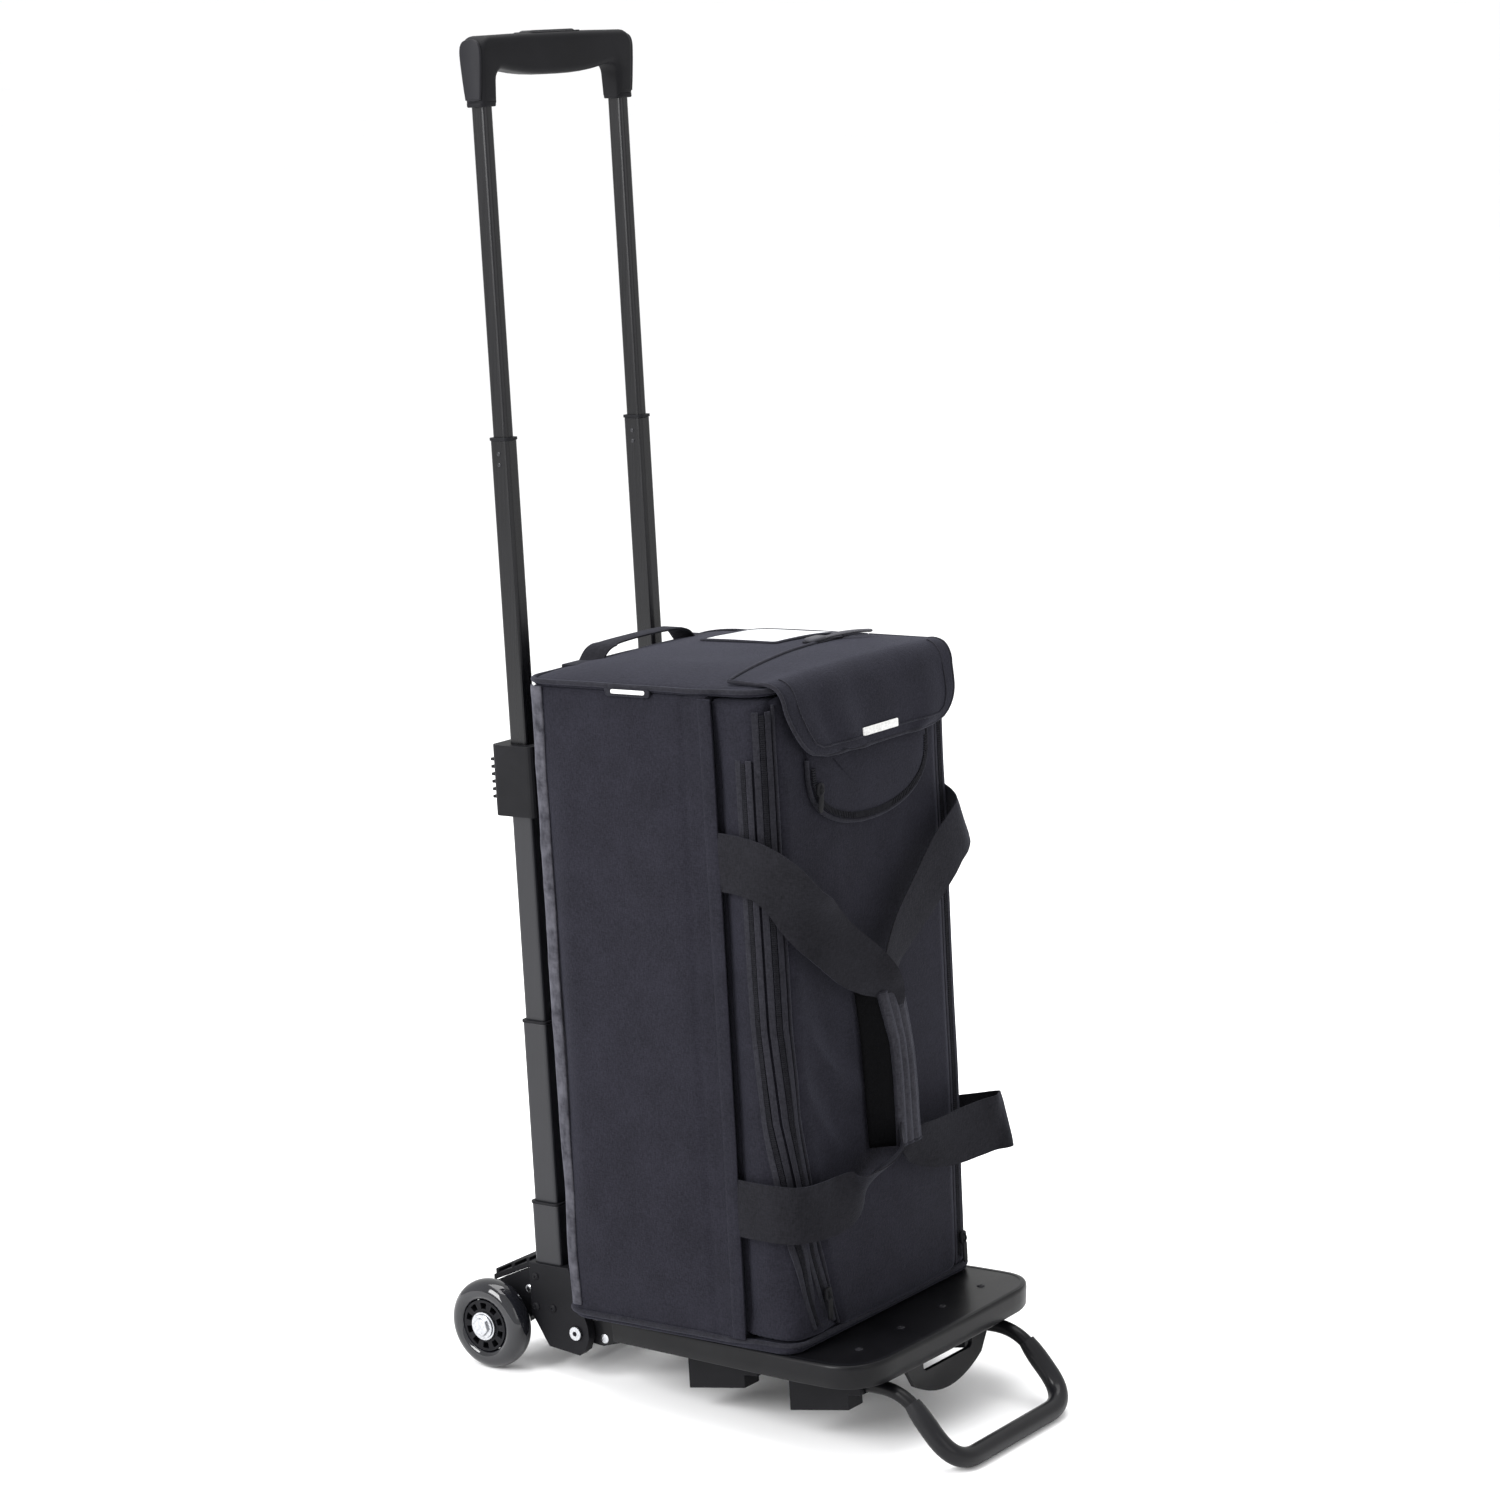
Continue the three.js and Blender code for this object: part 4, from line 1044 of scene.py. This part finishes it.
def make_tabs():
    """Side tab at the top seam, the puller on the top and the grab handle at the rear."""
    tab = slab(round_rect(-200, -160, 492.5, 498.5, (3, 3, 1.5, 1.5), 3),
               BAG_HALF + 1.0, BAG_HALF + 2.4, 0.6, left_view)
    part("side_tab", [tab], "binding")
    edge = slab(round_rect(-196, -166, 494.6, 497.6, 1.2, 3),
                BAG_HALF + 2.0, BAG_HALF + 3.2, 0.4, left_view)
    part("side_tab_strip", [edge], "label")
    z = top_height(60, -236)
    base = slab(round_rect(24, 60, -243, -227, 5, 4), z + 0.4, z + 2.4, 0.8, plan)
    part("top_buckle_base", [base], "webbing")
    loop = [(34, -238, z + 3.4), (50, -243, z + 4.6), (66, -249, z + 4.8), (78, -252, z + 3.6),
            (84, -246, z + 2.6), (72, -240, z + 3.4), (54, -235, z + 3.8)]
    ring = cord(smooth_path(loop, 5), 1.7, 10, flat=0.7)
    knob = slab(round_rect(22, 40, -242, -231, 4, 4), z + 2.2, z + 5.4, 1.4, plan)
    part("top_puller", [ring, knob], "puller")
    stations = []
    rise = [(62, 500.5), (57, 503.5), (49, 511), (36, 514.2)]
    arch = [(-x, height) for x, height in rise] + [(0, 515.2)] + rise[::-1]
    profile = smooth_path(arch, 5)
    for i, (x, height) in enumerate(profile):
        ax, az = profile[max(i - 1, 0)]
        bx, bz = profile[min(i + 1, len(profile) - 1)]
        narrow = 11.0 if abs(x) > 40 else 9.0 - 1.5 * math.cos(x / 40 * math.pi / 2)
        centre = (x, -97 - 2 * math.cos(x / 62 * math.pi / 2), height)
        stations.append((centre, (0, narrow, 0), (-(bz - az), 0, bx - ax)))
    handle = part("grab_handle_webbing", [ribbon(stations, 2.4)], "webbing")
    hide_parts("grab_handle")
    feet = [
        slab(round_rect(x, x + 22, -109, -86, 2, 3), 501.2, 504.6, 1.0, plan) for x in (-78, 56)
    ]
    part("grab_handle_patches", feet, "webbing")


# ---------- carry straps and the padded wrap ----------
def strap(points, halves):
    """A strap through (x, y, z, roll) points; the width stays near upright and rolls about the path."""
    path = smooth_path([p[:3] for p in points], 8)
    rolls = smooth_path([(p[3], h, 0) for p, h in zip(points, halves)], 8)
    stations = []
    for i, here in enumerate(path):
        along = Vector(path[min(i + 1, len(path) - 1)] - path[max(i - 1, 0)]).normalized()
        roll, half, _ = rolls[i]
        aside = eased((abs(here[0]) - 66) / 58)
        ahead = eased((-here[1] - 282) / 30)
        out_x = math.copysign(1 - ahead * (1 - aside), here[0])
        out = Vector((out_x, -ahead * (1.15 - aside), 0)).normalized()
        out = (out - along * out.dot(along)).normalized()
        across = along.cross(out).normalized()
        turn = Matrix.Rotation(math.radians(roll), 3, along)
        ripple_by = 0.8 * ripple(here[0], here[1], here[2], 40, 7.7)
        centre = Vector(here) + out * ripple_by
        stations.append((centre, turn @ across * half, turn @ out))
    return ribbon(stations, 2.0)


def make_straps():
    left_upper = [(-119.5, -250, 379, 0), (-120.5, -268, 378, 0), (-121.5, -288, 374, 0),
                  (-117, -304, 363, 0), (-105, -311, 346, 2), (-86, -314, 327, 4),
                  (-61, -316, 305, 8), (-38, -318.5, 289, 16), (-20, -320.5, 276, 30),
                  (-9, -319.5, 265, 24), (-8, -317, 246, 0)]
    left_halves = [21, 21, 21, 21.5, 21.5, 21, 20.5, 18, 13, 8.5, 8]
    left_lower = [(-119.5, -250, 128, 0), (-121, -264, 128, 0), (-121, -286, 128, 0),
                  (-114, -300, 127, 0), (-96, -306, 126, 0), (-76, -308, 126, 0),
                  (-58, -311, 129, 12), (-46, -315, 136, 42), (-28, -318, 145, 56),
                  (-12, -319, 151, 38), (-2, -318, 166, 10)]
    lower_halves = [21, 21, 21, 21, 21, 21, 21, 19, 16, 12, 10]
    right_upper = [(119.5, -250, 379, 0), (120, -268, 379, 10), (118, -288, 377, 24),
                   (110, -303, 374, 26), (97, -313, 369, 14), (80, -316, 361, 2),
                   (62, -317, 349, 0), (40, -316, 331, -4), (12, -315, 309, -8),
                   (-6, -315, 288, -12), (-10, -315, 264, 0)]
    right_halves = [21, 21, 21, 21, 21, 21, 21, 20.5, 18, 14, 11]
    right_lower = [(119.5, -250, 128, 0), (123, -270, 130, 0), (129, -296, 134, 0),
                   (129.5, -315, 138, 0), (118, -325, 141, 0), (92, -321, 141, 0),
                   (64, -318, 141, -3), (40, -317, 143, -8), (18, -316, 148, -14),
                   (7, -316, 156, -8), (4, -315, 170, 0)]
    sets = {
        "left": ((left_upper, left_halves), (left_lower, lower_halves)),
        "right": ((right_upper, right_halves), (right_lower, lower_halves)),
    }
    for name, runs in sets.items():
        piece = part(f"strap_{name}", [strap(points, halves) for points, halves in runs], "webbing")
        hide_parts(f"carry_strap_{name}")


def make_wrap():
    """The padded wrap round both straps: a ribbed face with bound edges, and near-black sheets for its
    side and behind its face, painted shade of the hollow behind the wrap.
    """
    low, high = 153, 270
    wrap_left = [(153, -10), (231, -15), (262, -24), (270, -26)]
    wrap_right = [(153, 19), (225, 12), (262, 6), (270, 4)]
    foot_left = [(153, -25), (233, -29), (262, -33), (270, -34)]
    face, flank, under = [], [], []
    for z in spaced(low, high, 4):
        a, b = along_table(wrap_left, z), along_table(wrap_right, z)
        root = along_table(foot_left, z)
        bow = 2.0 * math.sin(math.pi * (z - low) / (high - low))
        row = []
        for k in range(31):
            t = k / 30
            ridge = 1.1 * abs(math.sin(3.5 * math.pi * t)) * (1 if 0.02 < t < 0.98 else 0)
            roll = 4.5 * max(0.0, (t - 0.86) / 0.14) ** 2 + 1.4 * max(0.0, (0.1 - t) / 0.1) ** 2
            y = -317.6 - bow - ridge + roll + 0.4 * ripple(t * 9, 0, z, 14, 2.9)
            row.append((a + (b - a) * t, y, z))
        face.append(row + [(b + 1.6, -311, z), (b + 1.0, -306, z)])
        flank.append([
            (a + 1.2 + (root - a) * t, -316.6 - bow * (1 - t) + 16.2 * t ** 0.8, z)
            for t in spaced(0, 1, 0.125)
        ])
        under.append([(a + 2 + (b - a) * t, -314.6 - bow, z) for t in (0, 0.5, 0.9)])
    wrap = part("wrap_pad", [sheet_faces(face)], "ribbed", None, 75)
    thickened(wrap, 1.8)
    subdivided(wrap)
    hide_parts("handle_wrap")
    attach(wrap, "bag")
    edges = [[row[0] for row in face], [row[30] for row in face], face[0][:31], face[-1][:31]]
    part("wrap_binding", [cord(edge, 1.3, 8) for edge in edges], "binding", sharp=80)
    # near-black sheets for the wrap's side and backing: painted shade of the hollow behind the wrap
    side_and_shade_sheets = part("wrap_side_and_painted_shade", [sheet_faces(flank), sheet_faces(under)], "side_and_painted_shade", sharp=80)
    thickened(side_and_shade_sheets, 1.2)


# ---------- grip ----------
def make_grip():
    """The grip with its end caps, tube collars and the oval release button."""
    half, top, low, inner = 88, 956, 907.6, 70
    right = [(x, 926.3 + 5.4 * (x / 60) ** 2.4) for x in (0, 14, 28, 40, 52)]
    outline = corner_points((-half + 12, top - 12), 12, 90, 180, 6)
    outline += [(-half + 0.4, 925), (-half + 0.8, low), (-inner, low), (-inner, 922)]
    outline += corner_points((-inner + 8, 924), 8, 180, 100, 5)
    outline += [(-x, v) for x, v in right[:0:-1]] + right
    outline += corner_points((inner - 8, 924), 8, 80, 0, 5)
    outline += [(inner, 922), (inner, low), (half - 0.8, low), (half - 0.4, 925)]
    outline += corner_points((half - 12, top - 12), 12, 0, 90, 6)
    outline += [(x, top + 0.8 * math.cos(x / 70 * math.pi / 2)) for x in range(60, -61, -20)]

    def tapered(u, v, w):
        slim = 0.78 + 0.22 * min(1.0, max(0.0, (v - low) / 40))
        swell = 1 + 0.05 * max(0.0, 1 - (u / 66) ** 2) * (1 if v > 924 else 0)
        return (u, TUBE_Y + w * slim * swell, v)

    grip = part("grip_shell", [slab(outline, -11, 11, 4.6, tapered, 5)], "satin", "handle", 50)
    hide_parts("grip_body", "grip_cover")
    cap = [(-9.2, 934), (-7.2, 914), (-5.4, 910.6), (5.4, 910.6), (7.2, 914), (9.2, 934), (9.6, 945),
           (8, 950.5), (4, 953.2), (-4, 953.2), (-8, 950.5), (-9.6, 945)]
    face = [(u + TUBE_Y, v) for u, v in cap]
    curve = [tuple(p) for p in smooth_path(face + face[:1], 4)[:-1]]
    caps, collars = [], []
    for sign, view in ((-1, left_view), (1, side_view)):
        caps.append(slab(curve, 86.6, 88.9, 0.9, view, 3))
        collar = round_rect(sign * 79 - 8.7, sign * 79 + 8.7, TUBE_Y - 8.4, TUBE_Y + 8.4, 4, 4)
        collars.append(slab(collar, 905.8, 909.4, 1.0, plan, 3))
    part("grip_end_caps", caps, "button", "handle")
    part("grip_collars", collars, "satin", "handle")

    def domed(u, v, w):
        return (u, v, w - (3.2 * (u / 29) ** 2 if w > 952 else 0))

    button = round_rect(-29, 29, TUBE_Y - 6, TUBE_Y + 6, 6, 8)
    piece = part("oval_button", [slab(button, 946, 960.2, 1.6, domed, 4)], "button", "release", 60)
    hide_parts("release_button")
    well = round_rect(-32, 32, TUBE_Y - 8.3, TUBE_Y + 8.3, 8, 8)
    ring = cord([(u, v, 956.2) for u, v in well], 0.9, 8, closed=True)
    part("button_surround", [ring], "satin", "handle", 80)


def make_spring():
    """The return spring under the button; this mesh keeps one length, though the real spring shortens
    as the button goes in.
    """
    path = []
    for k in range(97):
        angle = 8 * math.pi * k / 96
        height = SPRING_LOW + (SPRING_HIGH - SPRING_LOW) * k / 96
        path.append((3.4 * math.cos(angle), TUBE_Y + 3.4 * math.sin(angle), height))
    spring = part("return_spring", [cord(path, 0.6, 8)], "steel", None, 80)
    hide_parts("button_spring")
    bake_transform(spring)


# ---------- tubes, bridge and base details ----------
def head(x, y, z, out, radius, height, slotted=True):
    """A domed screw or rivet head that faces out."""
    profile = [(1, 0), (1, 0.35), (0.9, 0.62), (0.7, 0.85), (0.4, 0.97)]
    if slotted:
        profile += [(0.34, 0.96), (0.3, 0.45)]
    return disc((x, y, z), out, [(r * radius, h * height) for r, h in profile], 20)


def make_small_parts():
    """Pins, screws, rivets and dark hexagon discs on the screws, painted shade standing in for their
    sockets.
    """
    sides = [(sign, (sign, 0, 0)) for sign in (-1, 1)]
    pins = [
        head(sign * TUBE_X - 6.6, TUBE_Y, z, (-1, 0, 0), 1.5, 0.5)
        for sign in (-1, 1) for z in (658, 650)
    ]
    # the pins share the lighter tube paint with its painted reflection
    part("tube_pins", pins, "tube_painted_reflection", "stage_2")
    # near-black raised discs: painted shade of the hexagon sockets
    sockets = [
        disc((sign * x, y, z), out, [(radius, 0), (radius, 0.25), (0.8 * radius, 0.35)], 6)
        for sign, out in sides
        for x, y, z, radius in ((87.5, -24, 25, 1.3), (115.6, 0, 0, 3.0), (PIN_FACE, -72.5, -1, 2.0))
    ]
    part("screw_socket_painted_shade", sockets, "zip", "base")
    screws = [
        head(sign * HOUSING_FACE, y, z, out, radius, radius / 2)
        for sign, out in sides for y, z, radius in ((-35, 14.4, 3.2), (-51, 15, 3.2), (-36, 38, 2.8))
    ]
    part("base_screws", screws, "satin", "base")
    rivets = [head(sign * 86, -24, 25, out, 3.4, 1.6, False) for sign, out in sides]
    part("base_rivets", rivets, "steel", "base")
    arm_screws = [head(sign * 83.4, -92, -5, out, 3.6, 0.6) for sign, out in sides]
    part("deck_arm_screws", arm_screws, "steel", "deck")
    deck_screws = [head(x, -322, 21.9, (0, 0, 1), 3.0, 1.0) for x in (-80, -27, 27, 80)]
    part("deck_screws", deck_screws, "button", "deck")


def make_wheels():
    """Clear tyres and the bolts and washers at the axle's ends."""
    profile = []
    for a in range(-90, 91, 10):
        angle = math.radians(a)
        profile.append((24.2 + 10.0 * math.cos(angle) ** 0.75, 10.9 * math.sin(angle)))
    profile += [(21.6, 10.0), (20.6, 8.6), (20.3, 0), (20.6, -8.6), (21.6, -10.0)]
    washer = corner_points((0, 0), 9.4, 0, 345, 23)
    hexagon = corner_points((0, 0), 7.2, 12, 312, 5)
    for name, sign in SIDES:
        ring = turned(profile, sign * WHEEL_X, 96)
        tyre = part(f"tyre_ring_{name}", [ring], "tyre", f"wheel_{name}", 50)
        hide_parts(f"tyre_{name}")
        out = sign * 115.3
        bolt = [
            slab(outline, *sorted((out + sign * near, out + sign * far)), edge, side_view)
            for outline, near, far, edge in ((washer, 0, 0.9, 0.3), (hexagon, 0.8, 3.4, 0.8))
        ]
        part(f"axle_bolt_{name}", bolt, "steel", "base")


def make_foot():
    """The bent foot bar and its rubber sleeve."""
    bar_y, bar_z, x = -397.3, -53.4, 76
    points = [(-x, -150, -5), (-x, -356, -5), (-x, bar_y, bar_z)]
    points += [(-u, y, z) for u, y, z in points[::-1]]
    tube = cord(filleted(points, [20, 27, 27, 20], 10), 5.2, 28)
    bar = part("foot_tube", [tube], "gloss", "foot", 50)
    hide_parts("foot_bar")
    ends = [(-x, -363, -13.2), *points[2:4], (x, -363, -13.2)]
    route = densified(filleted(ends, [27, 27], 12), 6, closed=False)
    radii = [7.4] * len(route)
    for k, r in enumerate((6.1, 7.0, 7.4, 7.5)):
        radii[k] = radii[-1 - k] = r
    sleeve = part("foot_grip_sleeve", [cord(route, radii, 28)], "rubber", "foot", 50)
    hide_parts("foot_sleeve")


def make_deck_rim():
    """The deck's smooth outer skirt: a rolled top edge over a slightly drawn-in wall."""
    half = [(-108, -121), (-113, -205), (-118, -290), (-118, -304)]
    half += bent((-118, -318), (-118, -347), (-86, -351))
    half += bent((-86, -351), (-43, -352.4), (0, -352.6))[1:-1]
    path = half + [(0, -352.6)] + [(-x, y) for x, y in reversed(half)]
    section = [(-1.6, 21.4), (-3.4, 22.3), (-0.9, 22.3), (0.5, 21.6), (1.2, 20.2), (1.3, 18.4),
               (0.8, 12), (0.4, 5.6), (-0.2, 4.7), (-1.6, 4.8)]
    rings = []
    for i, (x, y) in enumerate(path):
        (ax, ay), (bx, by) = path[max(i - 1, 0)], path[min(i + 1, len(path) - 1)]
        length = math.hypot(bx - ax, by - ay)
        out_x, out_y = (by - ay) / length, -(bx - ax) / length
        rings.append([(x + out_x * reach, y + out_y * reach, z) for reach, z in section])
    part("deck_skirt", [ring_bridge(rings)], "gloss", "deck", 50)


def dress_cad_nodes():
    """Materials and softened edges for the CAD nodes that stay."""
    for nodes, material, width in (
        ("handle_tube_1 handle_tube_2", "tube", 0.25),
        # the lower tubes take the lighter copy of the paint as a painted reflection
        ("handle_tube_3 handle_tube_4 handle_tube_5", "tube_painted_reflection", 0.25),
        ("mouth_ring_2 mouth_ring_4 mouth_ring_5", "satin", 0.3),
        ("guide_plug_1 guide_plug_2 guide_plug_3 guide_plug_4", "satin", 0.3),
        ("pivot_pin", "steel", 0.6),
        ("wheel_arm", "satin", 0.9),
        ("wheel_hub", "satin", 0.4),
        ("wheel_bearing", "steel", 0.5),
        ("foot_guide", "satin", 0.8),
        ("release_rod", "steel", 0.3),
    ):
        for node in nodes.split():
            for name, _ in SIDES:
                bevelled(f"{node}_{name}", material, width)
    bevelled("base_housing", "satin", 0.9)
    bevelled("axle_crossbeam", "satin", 0.7)
    bevelled("axle_rod", "steel", 0.6)
    bevelled("tube_bridge", "satin", 0.7)
    bevelled("release_yoke", "satin", 0.4)
    bevelled("deck", "gloss", 0.9)


# ---------- stage: camera, floor, light ----------
def make_stage():
    camera = bpy.data.cameras.new("camera")
    camera.lens, camera.sensor_width = 93.82, 36
    camera.clip_start, camera.clip_end = 0.1, 60
    viewer = bpy.data.objects.new("camera", camera)
    viewer.location = (-2.2484, -1.61725, 1.0931)
    viewer.rotation_euler = [math.radians(a) for a in (77.58, 0, -53.92)]
    bpy.context.scene.collection.objects.link(viewer)
    bpy.context.scene.camera = viewer

    floor_mesh = bpy.data.meshes.new("floor")
    reach = 40
    floor_corners = [(x * reach, y * reach, 0) for x, y in ((-1, -1), (1, -1), (1, 1), (-1, 1))]
    floor_mesh.from_pydata(floor_corners, [], [[0, 1, 2, 3]])
    floor = bpy.data.objects.new("floor", floor_mesh)
    bpy.context.scene.collection.objects.link(floor)
    paper = Shader("floor_paper", (0.93, 0.93, 0.935), 0.75)
    shade = paper.ramp(paper.noise(3, 2), [(0.3, (0.92, 0.92, 0.925)), (0.7, (0.945, 0.945, 0.95))])
    paper.link(shade, paper.surface.inputs["Base Color"])
    floor_mesh.materials.append(paper.material)
    floor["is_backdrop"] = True

    bpy.context.scene.view_settings.view_transform = "Standard"
    world = bpy.data.worlds.new("studio")
    world.use_nodes = True
    world.node_tree.nodes["Background"].inputs["Color"].default_value = (1, 1, 1, 1)
    world.node_tree.nodes["Background"].inputs["Strength"].default_value = 1.08
    bpy.context.scene.world = world

    def softbox(name, at, towards, size, power):
        light = bpy.data.lights.new(name, "AREA")
        light.shape = "RECTANGLE"
        light.size, light.size_y = size
        light.energy = power
        lamp = bpy.data.objects.new(name, light)
        lamp.location = at
        lamp.rotation_euler = (Vector(towards) - Vector(at)).to_track_quat("-Z", "Y").to_euler()
        bpy.context.scene.collection.objects.link(lamp)

    softbox("softbox_left", (-2.4, 0.9, 1.7), (0, 0.05, 0.4), (1.2, 1.8), 105)
    softbox("softbox_front", (-0.6, -2.8, 1.5), (0, 0, 0.4), (1.6, 1.6), 12)
    softbox("softbox_top", (0.2, 0.3, 2.9), (0, 0, 0.3), (2.2, 2.2), 75)


make_stage()
dress_cad_nodes()
make_rear_shell()
make_corner_highlight_strips()
make_front_shell()
make_caps()
make_front_trim()
make_flap()
make_pocket()
make_window()
make_tabs()
make_straps()
make_wrap()
make_grip()
make_spring()
make_deck_rim()
make_small_parts()
make_wheels()
make_foot()


def corners(box):
    return [list(corner) for corner in box]


{"cad": corners(CAD_BOX), "visual": corners(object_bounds())}
